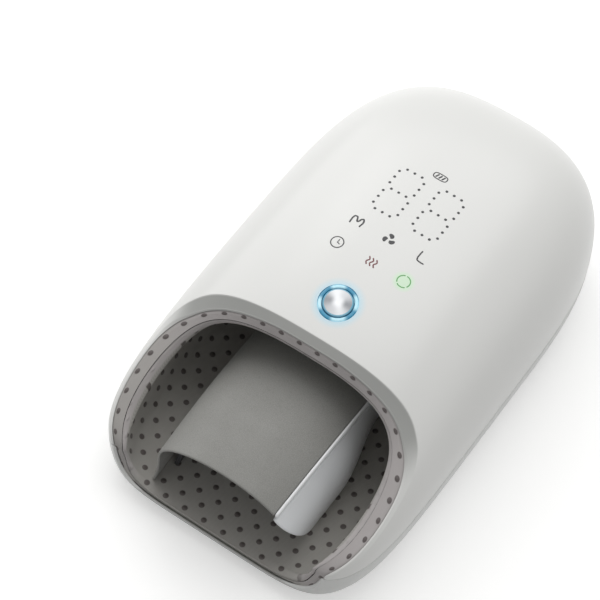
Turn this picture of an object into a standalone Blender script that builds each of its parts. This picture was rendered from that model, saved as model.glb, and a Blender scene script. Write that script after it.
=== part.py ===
"""Air-compression hand massager with a padded hand chamber, in metres, +Z up.

The mouth of the chamber faces -Y and +X is to the right of someone who looks into it.
The origin is under the middle of the body, on the surface that the feet stand on.
Shells, frame, air bags and liner are nested layers of one body surface, each drawn in by its own inset.
"""
import math
from collections import namedtuple

import bmesh
import bpy
import numpy as np

# Whole body
BODY_LENGTH = 0.240
BODY_WIDTH = 0.140
TOP_HEIGHT = 0.082
SEAM_HEIGHT = 0.025
BASE_HEIGHT = 0.0055
WIDEST_Y = 0.015
FRONT_END_Y = -BODY_LENGTH / 2
BACK_END_Y = BODY_LENGTH / 2
FRONT_REACH = WIDEST_Y - FRONT_END_Y
BACK_REACH = BACK_END_Y - WIDEST_Y
GAP = 0.0003

# Exponents of the curves: 2 is an ellipse, more is squarer
PLAN_FRONT_SHAPE = 6.5
PLAN_BACK_SHAPE = 3.2
CROWN_FRONT_SHAPE = 2.0
CROWN_BACK_SHAPE = 3.3
SECTION_SHAPE = 2.67
FLOOR_SHAPE = 6.0
FRONT_INSET_SHARE = 0.25

# Mouth, as the side view shows it: a bell curve from the brow forward to the cheeks
CORNER_SETBACK = 0.005
BROW_SETBACK = 0.071
CORNER_Y = FRONT_END_Y + CORNER_SETBACK
BROW_Y = FRONT_END_Y + BROW_SETBACK
CHEEK_FOOT = 0.026
CHEEK_RISE = 0.0228
CHEEK_SHAPE = 1.8
LIP_REACH = 0.0035
LOWER_DRAW = 0.0042
LIP_HEIGHT = 0.0088

# Outer shells
SHELL_WALL = 0.0024
BASE_WALL = 0.0020
BASE_ROUND_HEIGHT = 0.016
BASE_ROUND_WIDTH = 0.009
LIP_WALL = 0.0016
STEP_WIDTH = 0.0003
BOSS_RADIUS = 0.0042
SCREW_RADIUS = 0.0015
SCREW_HEAD_RADIUS = 0.0027
SCREW_HEAD_HEIGHT = 0.0022
SCREW_BITE = 0.013
COUNTERBORE_DEPTH = 0.004
MIDDLE_SCREW_SETBACK = 0.070
BACK_SCREW_SETBACK = 0.021
MIDDLE_SCREW_X = 0.053
MIDDLE_SCREW_Y = BACK_END_Y - MIDDLE_SCREW_SETBACK
BACK_SCREW_X = 0.040
BACK_SCREW_Y = BACK_END_Y - BACK_SCREW_SETBACK
HOUSING_SCREW_PLACES = ((MIDDLE_SCREW_X, MIDDLE_SCREW_Y), (-MIDDLE_SCREW_X, MIDDLE_SCREW_Y),
                        (BACK_SCREW_X, BACK_SCREW_Y), (-BACK_SCREW_X, BACK_SCREW_Y))

# Plinth under the base, its notch and the charging socket in it
PLINTH_HEIGHT = 0.0012
PLINTH_SIDE_SETBACK = 0.0095
PLINTH_WIDTH = BODY_WIDTH - 2 * PLINTH_SIDE_SETBACK
PLINTH_FRONT_SETBACK = 0.042
PLINTH_BACK_SETBACK = 0.086
PLINTH_FRONT_Y = FRONT_END_Y + PLINTH_FRONT_SETBACK
PLINTH_BACK_Y = BACK_END_Y - PLINTH_BACK_SETBACK
PLINTH_CORNER = 0.014
NOTCH_SETBACK = 0.051
NOTCH_Y = PLINTH_FRONT_Y + NOTCH_SETBACK
NOTCH_WIDTH = 0.015
NOTCH_DEPTH = 0.013
PORT_WIDTH = 0.0118
PORT_DEPTH = 0.0085
PORT_SLOT_WIDTH = 0.0090
PORT_SLOT_HEIGHT = 0.0024
PORT_SLOT_DEPTH = 0.0060
PLINTH_SCREW_X = 0.040
PLINTH_SCREW_SETBACK = 0.014
PLINTH_SCREW_Y = PLINTH_BACK_Y - PLINTH_SCREW_SETBACK
PLINTH_SCREW_RADIUS = 0.0012
PLINTH_SCREW_HEAD_RADIUS = 0.0024
PLINTH_SCREW_HEAD_HEIGHT = 0.0016

# Rubber feet
FOOT_RADIUS = 0.007
FOOT_TO_PLINTH_SIDE = 0.0125
FRONT_FOOT_X = PLINTH_WIDTH / 2 - FOOT_TO_PLINTH_SIDE
FRONT_FOOT_SETBACK = 0.014
FRONT_FOOT_Y = PLINTH_FRONT_Y + FRONT_FOOT_SETBACK
BACK_FOOT_X = 0.036
BACK_FOOT_SETBACK = 0.034
BACK_FOOT_Y = BACK_END_Y - BACK_FOOT_SETBACK
FOOT_ROUND = 0.0006

# Bezel and padded edge of the mouth
BEZEL_SIDE_WIDTH = 0.0016
BEZEL_BROW_WIDTH = 0.0036
BEZEL_LIP_WIDTH = 0.0007
BEZEL_DEPTH = 0.0030
BEZEL_CLEARANCE = 0.0004
ROLL_DEPTH = 0.0095

# Room behind the chamber for the rear works
CARRIER_BACK_SETBACK = 0.0285
CARRIER_LENGTH = 0.050
CARRIER_BACK_Y = BACK_END_Y - CARRIER_BACK_SETBACK
CARRIER_FRONT_Y = CARRIER_BACK_Y - CARRIER_LENGTH

# Layers of the hand chamber, outside to inside
FRAME_SIDE_INSET = 0.0042
FRAME_WALL = 0.0012
BAG_THICKNESS = 0.0024
PAD_THICKNESS = 0.0005
LINER_THICKNESS = 0.0008
FLOOR_FRAME_THICKNESS = 0.0008
FLOOR_FOAM_THICKNESS = 0.0008
TAPER_SHARE = 0.077
FRAME_SETBACK = 0.0100
FRAME_TO_CARRIER = 0.005
FRAME_BACK_Y = CARRIER_FRONT_Y - FRAME_TO_CARRIER
LINER_TO_FRAME_END = 0.0035
LINER_BACK_Y = FRAME_BACK_Y - LINER_TO_FRAME_END
BAG_TO_LINER_END = 0.009
BAG_BACK_Y = LINER_BACK_Y - BAG_TO_LINER_END
FRAME_CLEARANCE = 0.0003

# Where the soft layers lie round the chamber, in degrees up from its right side
SIDE_BAG_LOW_ANGLE = -35
SIDE_BAG_HIGH_ANGLE = 42
UPPER_BAG_LOW_ANGLE = 50
UPPER_BAG_HIGH_ANGLE = 130
FLOOR_FOAM_LOW_ANGLE = -136
FLOOR_FOAM_HIGH_ANGLE = -44
SIDE_TUBE_ANGLE = 6

# Palm rest
REST_FRONT_SETBACK = 0.002
REST_FRONT_Y = CORNER_Y + REST_FRONT_SETBACK
REST_TO_LINER_END = 0.002
REST_BACK_Y = LINER_BACK_Y - REST_TO_LINER_END
REST_CENTRE_X = 0.0010
REST_HALF_WIDTH = 0.0335
REST_THROAT = 0.0285
REST_CROWN = TOP_HEIGHT - REST_THROAT
REST_RISE = 0.019
REST_SHOULDER = REST_CROWN - REST_RISE
REST_CLEARANCE = 0.00045
REST_DROP = 0.0130
SHOULDER_DROP_SHARE = 0.7
REST_FOOT_FLARE = 0.0030
REST_SWELL = 0.0030
RIDGE_ANGLE = 0.69
REST_COVER = 0.0012
REST_PAD = 0.0020
REST_FRAME = 0.0020
REST_EDGE_SETBACK = 0.012
BEAD_RADIUS = 0.0013
CHEEK_WALL = 0.0020
CHEEK_FOOT_X = 0.0335
CHEEK_BULGE = 0.0045
CHEEK_SLANT = 0.021
CHEEK_SLANT_SHAPE = 1.6
CHEEK_NARROW_START = 0.040
CHEEK_NARROW_LENGTH = 0.045
CHEEK_NARROWING = 0.0075

# Power button and its ring
BUTTON_SETBACK = 0.019
BUTTON_Y = BROW_Y + BUTTON_SETBACK
CAP_RADIUS = 0.0066
CAP_DOME = 0.0009
CAP_FLANGE_RADIUS = 0.0078
CAP_FLANGE_HEIGHT = 0.0006
RING_RADIUS = 0.0085
RING_FLANGE_RADIUS = 0.0100
RING_FLANGE_HEIGHT = 0.0007
RING_PROUD = 0.0002
RUNNING_GAP = 0.0004
BUTTON_TRAVEL = 0.0005
SWITCH_SIZE = 0.0062
SWITCH_HEIGHT = 0.0012
SWITCH_FLOOR = 0.0004
PLUNGER_RADIUS = 0.0012
PLUNGER_PROUD = 0.0007

# Display board and light mask
BOARD_THICKNESS = 0.0012
DISPLAY_CLEARANCE = 0.0009
DISPLAY_HALF_WIDTH = 0.027
DISPLAY_SETBACK = 0.0075
DISPLAY_LENGTH = 0.0985
DISPLAY_FRONT_Y = BROW_Y + DISPLAY_SETBACK
DISPLAY_BACK_Y = DISPLAY_FRONT_Y + DISPLAY_LENGTH
DISPLAY_BOSS_RADIUS = 0.0026
DISPLAY_BOSS_X = 0.0225
FRONT_BOSS_TO_EDGE = 0.003
BACK_BOSS_TO_EDGE = 0.005
DISPLAY_BOSS_FRONT_Y = DISPLAY_FRONT_Y + FRONT_BOSS_TO_EDGE
DISPLAY_BOSS_BACK_Y = DISPLAY_BACK_Y - BACK_BOSS_TO_EDGE
DISPLAY_SCREW_RADIUS = 0.0008
DISPLAY_SCREW_HEAD_RADIUS = 0.0018
DISPLAY_SCREW_HEAD_HEIGHT = 0.0007
DISPLAY_SCREW_LENGTH = 0.0045
MASK_HALF_WIDTH = 0.024
MASK_SETBACK = 0.0315
MASK_LENGTH = 0.0575
MASK_FRONT_Y = DISPLAY_FRONT_Y + MASK_SETBACK
MASK_BACK_Y = MASK_FRONT_Y + MASK_LENGTH
DIGIT_X = 0.0103
DIGIT_SETBACK = 0.0433
DIGIT_Y = MASK_FRONT_Y + DIGIT_SETBACK
DIGIT_WIDTH = 0.0124
DIGIT_HEIGHT = 0.0237
WINDOW_MARGIN = 0.0012
KEY_X = 0.0168
KEY_ROW_SETBACK = 0.0205
KEY_ROW_Y = MASK_FRONT_Y + KEY_ROW_SETBACK
SIGN_ROW_SETBACK = 0.0058
SIGN_ROW_Y = MASK_FRONT_Y + SIGN_ROW_SETBACK
WELL_RADIUS = 0.0036

# Carrier, battery and main board behind the chamber
CARRIER_FLOOR = 0.0020
CARRIER_HALF_WIDTH = 0.044
COLUMN_RADIUS = 0.0025
COLUMN_X = 0.0410
FRONT_COLUMN_SETBACK = 0.023
BACK_COLUMN_SETBACK = 0.003
COLUMN_FRONT_Y = CARRIER_FRONT_Y + FRONT_COLUMN_SETBACK
COLUMN_BACK_Y = CARRIER_BACK_Y - BACK_COLUMN_SETBACK
CELL_RADIUS = 0.0092
CELL_LENGTH = 0.065
CELL_SETBACK = 0.0285
CELL_FIRST_Y = CARRIER_FRONT_Y + CELL_SETBACK
HOLDER_WALL = 0.0014
HOLDER_HEIGHT = 0.0130
SHELF_THICKNESS = 0.0020
SHELF_OVERHANG = 0.0025
SHELF_SETBACK = 0.020
SHELF_BACK_Y = CARRIER_BACK_Y + SHELF_OVERHANG
SHELF_FRONT_Y = CARRIER_FRONT_Y + SHELF_SETBACK
POST_X = 0.0385
POST_RADIUS = 0.0020
MAIN_BOARD_CLEARANCE = 0.0015

# Air pump
PUMP_SETBACK = 0.037
PUMP_Y = CARRIER_FRONT_Y + PUMP_SETBACK
MOTOR_RADIUS = 0.0110
MOTOR_LENGTH = 0.0320
MOTOR_BACK_X = -0.0340
HEAD_RADIUS = 0.0120
HEAD_LENGTH = 0.0240
HEAD_WALL = 0.0016
HEAD_BORE_DEPTH = 0.0150
NOZZLE_RADIUS = 0.0016
NOZZLE_LENGTH = 0.0030
SHAFT_RADIUS = 0.0012
SHAFT_LENGTH = 0.0100
ECCENTRIC_RADIUS = 0.0050
ECCENTRIC_THROW = 0.0022
ECCENTRIC_WIDTH = 0.0050

# Manifold and valves
VALVE_SETBACK = 0.0115
VALVE_Y = CARRIER_FRONT_Y + VALVE_SETBACK
VALVE_SPACING = 0.0240
VALVE_WIDTH = 0.0110
VALVE_HEIGHT = 0.0150
VALVE_BORE_DEPTH = 0.0090
MANIFOLD_HEIGHT = 0.0060
MANIFOLD_HALF_LENGTH = 0.0340
STEM_RADIUS = 0.0018
STEM_SINK = 0.0070
STEM_CAP_RADIUS = 0.0034
STEM_CAP_HEIGHT = 0.0008
SPRING_WALL = 0.0007
SPRING_PRESSED_HEIGHT = 0.0018
VALVE_TRAVEL = 0.0010
SPRING_HEIGHT = SPRING_PRESSED_HEIGHT + VALVE_TRAVEL
TUBE_RADIUS = 0.0014
TUBE_RISE = 0.0085

# Counts of facets
COLUMNS = 28
LOWER_COLUMNS = 14
ROWS = 15
BASE_BACK_COLUMNS = 25
BASE_SIDE_COLUMNS = 9
BASE_LIP_COLUMNS = 13
REST_ROWS = 6
REST_STEPS = 13
CHEEK_STEPS = 9
MASK_STEPS = 7
CORNER_STEPS = 7
DOME_STEPS = 7
RING_SEGMENTS = 32
ROUND_SEGMENTS = 16
SMALL_SEGMENTS = 12
HALVINGS = 40
HEIGHT_SAMPLES = 400

# Where the rows of the layers, the base, the rolled edge and the rest's left leg lie, as shares of their way
LAYER_ROW_SHARES = (0, 0.08, 0.28, 0.62, 1)
BASE_ROW_SHARES = (0, 0.3, 0.56, 0.77, 0.92, 1)
ROLL_ROW_SHARES = (0, 0.1, 0.4, 1)
LEG_ROW_SHARES = (1, 0.66, 0.33)

Layer = namedtuple("Layer", "side top floor taper")

MATERIALS = {
    "gloss_white": ((0.80, 0.80, 0.78), 0.18, 0.0),
    "base_white": ((0.62, 0.62, 0.60), 0.30, 0.0),
    "bezel_grey": ((0.30, 0.31, 0.30), 0.35, 0.0),
    "liner_fabric": ((0.075, 0.070, 0.068), 0.90, 0.0),
    "rest_grey": ((0.22, 0.22, 0.20), 0.60, 0.0),
    "cheek_grey": ((0.32, 0.34, 0.35), 0.40, 0.0),
    "bead_white": ((0.80, 0.80, 0.80), 0.25, 0.0),
    "foam": ((0.25, 0.25, 0.25), 0.95, 0.0),
    "frame_plastic": ((0.06, 0.06, 0.065), 0.50, 0.0),
    "air_bag": ((0.55, 0.56, 0.58), 0.45, 0.0),
    "heater": ((0.55, 0.22, 0.05), 0.55, 0.0),
    "silver": ((0.75, 0.77, 0.80), 0.22, 1.0),
    "ring_blue": ((0.10, 0.45, 0.80), 0.30, 0.0),
    "board_green": ((0.02, 0.16, 0.06), 0.45, 0.0),
    "steel": ((0.55, 0.55, 0.57), 0.30, 1.0),
    "cell_wrap": ((0.05, 0.18, 0.50), 0.40, 0.0),
    "rubber": ((0.03, 0.03, 0.03), 0.85, 0.0),
    "tube_clear": ((0.70, 0.72, 0.72), 0.35, 0.0),
}


def clear_scene():
    for item in list(bpy.data.objects):
        bpy.data.objects.remove(item, do_unlink=True)


def material(name):
    found = bpy.data.materials.get(name)
    if found:
        return found
    colour, roughness, metallic = MATERIALS[name]
    made = bpy.data.materials.new(name)
    made.use_nodes = True
    shader = made.node_tree.nodes["Principled BSDF"]
    shader.inputs["Base Color"].default_value = (*colour, 1.0)
    shader.inputs["Roughness"].default_value = roughness
    shader.inputs["Metallic"].default_value = metallic
    made.diffuse_color = (*colour, 1.0)
    return made


def make_object(name, points, faces, finish, origin=(0, 0, 0), sharp_angle=math.radians(35)):
    """A closed mesh object whose doubled points are merged and whose faces point out."""
    mesh = bpy.data.meshes.new(name)
    local = np.asarray(points, dtype=float) - np.asarray(origin, dtype=float)
    mesh.from_pydata([tuple(point) for point in local], [], [tuple(face) for face in faces])
    work = bmesh.new()
    work.from_mesh(mesh)
    bmesh.ops.remove_doubles(work, verts=work.verts, dist=GAP / 100)
    bmesh.ops.dissolve_degenerate(work, edges=work.edges, dist=GAP / 100)
    bmesh.ops.recalc_face_normals(work, faces=work.faces)
    work.to_mesh(mesh)
    work.free()
    mesh.shade_smooth()
    mesh.set_sharp_from_angle(angle=sharp_angle)
    made = bpy.data.objects.new(name, mesh)
    made.location = origin
    made.data.materials.append(material(finish))
    bpy.context.scene.collection.objects.link(made)
    return made


def cutter(item):
    item.hide_render = True
    item.display_type = "WIRE"
    return item


def combine(target, other, operation):
    """Cut a hidden solid out of the target, or join it on."""
    step = target.modifiers.new(other.name, "BOOLEAN")
    step.operation = operation
    step.solver = "EXACT"
    step.object = cutter(other)


def grid_faces(rows, columns, closed, start=0, flip=False):
    """Four-sided faces between the points of a grid, which can close on itself along a row."""
    faces = []
    for row in range(rows - 1):
        for column in range(columns if closed else columns - 1):
            beside = (column + 1) % columns
            face = (start + row * columns + column, start + row * columns + beside,
                    start + (row + 1) * columns + beside, start + (row + 1) * columns + column)
            faces.append((face[0], face[3], face[2], face[1]) if flip else face)
    return faces


def thick_sheet(name, outer, inner, finish, closed, join_last=True):
    """A wall between two grids of points, closed round its edges.

    With join_last off, the last row of each grid is a pole that closes that grid by itself.
    """
    rows, columns, _ = outer.shape
    count = rows * columns
    faces = grid_faces(rows, columns, closed) + grid_faces(rows, columns, closed, count, flip=True)
    for column in range(columns if closed else columns - 1):
        beside = (column + 1) % columns
        faces.append((beside, column, count + column, count + beside))
        if join_last:
            last = (rows - 1) * columns
            faces.append((last + column, last + beside, count + last + beside, count + last + column))
    if not closed:
        for row in range(rows - 1):
            here, there = row * columns, (row + 1) * columns
            faces.append((here, there, count + there, count + here))
            right, next_right = here + columns - 1, there + columns - 1
            faces.append((next_right, right, count + right, count + next_right))
    points = np.concatenate([outer.reshape(-1, 3), inner.reshape(-1, 3)])
    return make_object(name, points, faces, finish)


def swept_loop(name, loops, finish, closed):
    """A solid swept along matching loops of points, which are the corners of its section."""
    grid = np.stack(list(loops) + [loops[0]])
    rows, columns, _ = grid.shape
    faces = grid_faces(rows, columns, closed)
    if not closed:
        faces.append(tuple(row * columns for row in range(rows - 1)))
        faces.append(tuple(row * columns + columns - 1 for row in reversed(range(rows - 1))))
    return make_object(name, grid.reshape(-1, 3), faces, finish)


def turned(name, profile, finish, centre=(0, 0, 0), axis="Z", segments=ROUND_SEGMENTS, tilt=0.0):
    """A solid turned from a profile of (radius, height) points that starts and ends on its axis."""
    angles = np.linspace(0, 2 * math.pi, segments, endpoint=False)
    radius = np.array([point[0] for point in profile])[:, None]
    height = np.array([point[1] for point in profile])[:, None] + 0 * angles
    across = radius * np.cos(angles)
    along = radius * np.sin(angles)
    if axis == "X":
        grid = np.stack([height, across, along], -1)
    else:
        grid = np.stack([across, along, height], -1)
    cos_tilt, sin_tilt = math.cos(tilt), math.sin(tilt)
    turned_y = grid[..., 1] * cos_tilt - grid[..., 2] * sin_tilt
    turned_z = grid[..., 1] * sin_tilt + grid[..., 2] * cos_tilt
    grid = np.stack([grid[..., 0], turned_y, turned_z], -1) + np.asarray(centre)
    faces = grid_faces(len(profile), segments, closed=True)
    return make_object(name, grid.reshape(-1, 3), faces, finish, origin=centre)


def rod(name, finish, centre, radius, low, high, axis="Z", segments=ROUND_SEGMENTS, tilt=0.0):
    profile = ((0, low), (radius, low), (radius, high), (0, high))
    return turned(name, profile, finish, centre, axis, segments, tilt)


def stepped_bore(name, centre, head_radius, step, radius, high):
    """Cutter for a screw's bore, wider for its head up to the step."""
    profile = ((0, 0), (head_radius, 0), (head_radius, step), (radius, step), (radius, high), (0, high))
    return turned(name, profile, "steel", centre, segments=SMALL_SEGMENTS)


def sleeve(name, finish, centre, inner_radius, outer_radius, low, high, segments=ROUND_SEGMENTS):
    """A ring with a square section round a vertical axis."""
    angles = np.linspace(0, 2 * math.pi, segments, endpoint=False)
    loops = []
    section = ((inner_radius, low), (outer_radius, low), (outer_radius, high), (inner_radius, high))
    for radius, height in section:
        ring = np.stack([radius * np.cos(angles), radius * np.sin(angles), height + 0 * angles], -1)
        loops.append(ring + np.asarray(centre))
    return swept_loop(name, loops, finish, closed=True)


def box(name, finish, low, high):
    corners = [(x, y, z) for z in (low[2], high[2]) for y in (low[1], high[1]) for x in (low[0], high[0])]
    faces = [(0, 2, 3, 1), (4, 5, 7, 6), (0, 1, 5, 4), (2, 6, 7, 3), (0, 4, 6, 2), (1, 3, 7, 5)]
    return make_object(name, corners, faces, finish)


def superpower(value, exponent):
    return np.sign(value) * np.abs(value) ** exponent


def rounded_share(share, shape):
    """Height of a superellipse of unit size at a share of its reach."""
    return (1 - np.clip(share, 0, 1) ** shape) ** (1 / shape)


def half_width(y, inset):
    """Half the width of the body's plan at y, drawn in by an inset."""
    behind = rounded_share((y - WIDEST_Y) / (BACK_REACH - inset), PLAN_BACK_SHAPE)
    ahead = rounded_share((WIDEST_Y - y) / (FRONT_REACH - FRONT_INSET_SHARE * inset), PLAN_FRONT_SHAPE)
    return (BODY_WIDTH / 2 - inset) * np.where(y > WIDEST_Y, behind, ahead)


def crown(y, inset):
    """Height of the body's middle line at y, lowered by an inset."""
    behind = rounded_share((y - WIDEST_Y) / (BACK_REACH - inset), CROWN_BACK_SHAPE)
    ahead = rounded_share((WIDEST_Y - y) / FRONT_REACH, CROWN_FRONT_SHAPE)
    rise = TOP_HEIGHT - SEAM_HEIGHT
    return SEAM_HEIGHT + np.where(y > WIDEST_Y, (rise - inset) * behind, np.maximum(rise * ahead - inset, 0))


def layer_point(angle, y, layer):
    """A point of a layer: angle 0 is its right side, a quarter turn its crown, and below 0 its floor."""
    drawn = layer.taper * np.maximum(y - BROW_Y, 0)
    section_y = np.maximum(y, CORNER_Y)
    above = np.sin(angle) >= 0
    below_draw = np.where(above, 0, LOWER_DRAW * np.abs(np.sin(angle)) ** (2 / FLOOR_SHAPE))
    width = half_width(section_y, layer.side + drawn) - below_draw
    shape = np.where(above, SECTION_SHAPE, FLOOR_SHAPE)
    reach = np.where(above, crown(y, layer.top + drawn) - SEAM_HEIGHT, SEAM_HEIGHT - layer.floor)
    x = width * superpower(np.cos(angle), 2 / shape)
    z = SEAM_HEIGHT + reach * superpower(np.sin(angle), 2 / shape)
    return np.stack(np.broadcast_arrays(x, y, z), -1)


def mouth_y(height):
    """How far forward the side of the mouth is cut at a height: a bell curve down from the brow."""
    bell = np.exp(-(np.maximum(height - CHEEK_FOOT, 0) / CHEEK_RISE) ** CHEEK_SHAPE)
    return BROW_Y - (BROW_Y - CORNER_Y) * bell


def rim_y(angle, layer, setback=0.0):
    """Where a layer meets the mouth: halving steps above the seam, the lip's curve below it."""
    low = np.full(np.shape(angle), CORNER_Y - LIP_REACH)
    high = np.full(np.shape(angle), WIDEST_Y)
    for _ in range(HALVINGS):
        middle = (low + high) / 2
        before = middle < mouth_y(layer_point(angle, middle, layer)[..., 2])
        low = np.where(before, middle, low)
        high = np.where(before, high, middle)
    lip = CORNER_Y - LIP_REACH * np.abs(np.sin(angle))
    return np.where(np.sin(angle) >= 0, high, lip) + setback


def surface_height(x, y, inset):
    """Height of the top shell's surface over a point of the plan."""
    share = np.abs(x) / half_width(y, inset)
    return SEAM_HEIGHT + (crown(y, inset) - SEAM_HEIGHT) * rounded_share(share, SECTION_SHAPE)


def display_height():
    """Underside of the display board, whose corners lie just under the inside of the top shell."""
    inside = surface_height(DISPLAY_HALF_WIDTH, np.array((DISPLAY_FRONT_Y, DISPLAY_BACK_Y)), SHELL_WALL)
    return float(inside.min()) - DISPLAY_CLEARANCE - BOARD_THICKNESS


def frame_top_inset():
    """Inset that brings the highest line of the chamber's frame just under the display board."""
    y = np.linspace(BROW_Y, FRAME_BACK_Y, HEIGHT_SAMPLES)
    highest = (crown(y, 0) - TAPER_SHARE * (y - BROW_Y)).max()
    return float(highest) - (display_height() - FRAME_CLEARANCE)


BEZEL_INSET = SHELL_WALL + BEZEL_CLEARANCE
LINER_RIM_SIDE = BEZEL_INSET + BEZEL_SIDE_WIDTH + GAP
LINER_RIM_TOP = BEZEL_INSET + BEZEL_BROW_WIDTH + GAP
FLOOR_BASE = BASE_HEIGHT + BASE_WALL
RIM_FLOOR = LIP_HEIGHT + GAP + BEZEL_LIP_WIDTH + GAP

FRAME_TOP_INSET = frame_top_inset()
FRAME_OUTER = Layer(FRAME_SIDE_INSET, FRAME_TOP_INSET, FLOOR_BASE + GAP, TAPER_SHARE)
FRAME_INNER = Layer(FRAME_SIDE_INSET + FRAME_WALL, FRAME_TOP_INSET + FRAME_WALL,
                    FRAME_OUTER.floor + FLOOR_FRAME_THICKNESS, TAPER_SHARE)
BAG_OUTER = Layer(FRAME_INNER.side + GAP, FRAME_INNER.top + GAP, FRAME_INNER.floor + GAP, TAPER_SHARE)
BAG_INNER = Layer(BAG_OUTER.side + BAG_THICKNESS, BAG_OUTER.top + BAG_THICKNESS,
                  BAG_OUTER.floor + FLOOR_FOAM_THICKNESS, TAPER_SHARE)
PAD_OUTER = Layer(BAG_INNER.side + GAP, BAG_INNER.top + GAP, BAG_INNER.floor, TAPER_SHARE)
PAD_INNER = Layer(PAD_OUTER.side + PAD_THICKNESS, PAD_OUTER.top + PAD_THICKNESS, BAG_INNER.floor, TAPER_SHARE)
LINER_OUTER = Layer(PAD_INNER.side + GAP, PAD_INNER.top + GAP, BAG_INNER.floor + GAP, TAPER_SHARE)
LINER_INNER = Layer(LINER_OUTER.side + LINER_THICKNESS, LINER_OUTER.top + LINER_THICKNESS,
                    LINER_OUTER.floor + LINER_THICKNESS, TAPER_SHARE)
SHELL_OUTER = Layer(0, 0, BASE_HEIGHT, 0)
SHELL_INNER = Layer(SHELL_WALL, SHELL_WALL, FLOOR_BASE, 0)
LINER_RIM_OUTER = Layer(LINER_RIM_SIDE, LINER_RIM_TOP, RIM_FLOOR, 0)
LINER_RIM_INNER = Layer(LINER_RIM_SIDE + LINER_THICKNESS, LINER_RIM_TOP + LINER_THICKNESS,
                        RIM_FLOOR + LINER_THICKNESS, 0)
CHAMBER_FLOOR = LINER_INNER.floor


def upper_angles():
    return np.linspace(0, math.pi, COLUMNS + 1)


def loop_angles():
    """Angles right round the mouth: the top shell's own, then wider steps under the seam."""
    lower = np.linspace(math.pi, 2 * math.pi, LOWER_COLUMNS + 1)[1:-1]
    return np.concatenate([upper_angles(), lower])


def angles_between(start, end):
    """The loop's angles from start to end, in degrees and counted on from below the seam."""
    angle = loop_angles()
    angle = np.sort(np.concatenate([angle - 2 * math.pi, angle]))
    return angle[(angle > math.radians(start)) & (angle < math.radians(end))]


def shell_grid(layer, back_y):
    """Rows of the top shell from the mouth's rim to its pole on the seam at the back."""
    angle = upper_angles()
    front = rim_y(angle, layer)
    share = (1 - np.cos(np.linspace(0, math.pi, ROWS + 1)))[:, None] / 2
    y = front + (back_y - front) * share
    return layer_point(np.broadcast_to(angle, y.shape), y, layer)


def boss(name, x, y, radius, foot):
    """A round boss that hangs from the middle of the top shell's wall down to its foot."""
    angles = np.linspace(0, 2 * math.pi, SMALL_SEGMENTS, endpoint=False)
    ring_x = x + radius * np.cos(angles)
    ring_y = y + radius * np.sin(angles)
    top = surface_height(ring_x, ring_y, SHELL_WALL / 2)
    centre_top = np.full(SMALL_SEGMENTS, float(surface_height(x, y, SHELL_WALL / 2)))
    rows = [np.stack([np.full_like(ring_x, x), np.full_like(ring_y, y), np.full_like(ring_x, foot)], -1),
            np.stack([ring_x, ring_y, np.full_like(ring_x, foot)], -1),
            np.stack([ring_x, ring_y, top], -1),
            np.stack([np.full_like(ring_x, x), np.full_like(ring_y, y), centre_top], -1)]
    grid = np.stack(rows)
    return make_object(name, grid.reshape(-1, 3), grid_faces(4, SMALL_SEGMENTS, closed=True), "gloss_white")


def button_tilt():
    """Slope of the crown under the button, as a turn about X."""
    step = CAP_RADIUS
    rise = crown(BUTTON_Y + step, 0) - crown(BUTTON_Y - step, 0)
    return math.atan2(float(rise), 2 * step)


def button_centre():
    return (0, BUTTON_Y, float(crown(BUTTON_Y, 0)))


def build_top_shell():
    outer = shell_grid(SHELL_OUTER, WIDEST_Y + BACK_REACH)
    inner = shell_grid(SHELL_INNER, WIDEST_Y + BACK_REACH - SHELL_WALL)
    shell = thick_sheet("top_shell", outer, inner, "gloss_white", closed=False, join_last=False)
    hole = rod("button_hole", "gloss_white", button_centre(), RING_RADIUS + GAP, -SHELL_WALL * 2, SHELL_WALL,
               tilt=button_tilt())
    combine(shell, hole, "DIFFERENCE")
    screw_reach = SEAM_HEIGHT + SCREW_BITE + GAP
    for number, (x, y) in enumerate(HOUSING_SCREW_PLACES, 1):
        combine(shell, boss(f"housing_boss_{number}", x, y, BOSS_RADIUS, SEAM_HEIGHT), "UNION")
        bore = rod(f"housing_bore_{number}", "gloss_white", (x, y, SEAM_HEIGHT), SCREW_RADIUS + GAP,
                   -SCREW_BITE, screw_reach - SEAM_HEIGHT)
        combine(shell, bore, "DIFFERENCE")
    for number, (x, y) in enumerate(display_boss_places(), 1):
        combine(shell, boss(f"display_boss_{number}", x, y, DISPLAY_BOSS_RADIUS, board_top() + GAP), "UNION")
    for number, (x, y) in enumerate(display_screw_places(), 1):
        bore = rod(f"display_bore_{number}", "gloss_white", (x, y, board_top() + GAP),
                   DISPLAY_SCREW_RADIUS + GAP, -GAP, display_screw_bite() + GAP)
        combine(shell, bore, "DIFFERENCE")


def board_top():
    return display_height() + BOARD_THICKNESS


def display_boss_places():
    return ((DISPLAY_BOSS_X, DISPLAY_BOSS_FRONT_Y), (-DISPLAY_BOSS_X, DISPLAY_BOSS_FRONT_Y),
            (DISPLAY_BOSS_X, DISPLAY_BOSS_BACK_Y), (-DISPLAY_BOSS_X, DISPLAY_BOSS_BACK_Y))


def display_screw_places():
    """The two bosses, one at each end and side, that take the board's screws."""
    return display_boss_places()[1:3]


def display_screw_bite():
    """How far a display screw reaches above the board."""
    return DISPLAY_SCREW_LENGTH - BOARD_THICKNESS - GAP


def plan_outline(angle, inset, front_inset):
    """The body's plan, drawn in by an inset at the sides and back and by another at the front."""
    back = np.sin(angle) >= 0
    shape = np.where(back, PLAN_BACK_SHAPE, PLAN_FRONT_SHAPE)
    reach = np.where(back, BACK_REACH - inset, FRONT_REACH - front_inset)
    x = (BODY_WIDTH / 2 - inset) * superpower(np.cos(angle), 2 / shape)
    y = WIDEST_Y + reach * superpower(np.sin(angle), 2 / shape)
    return x, y


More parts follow.
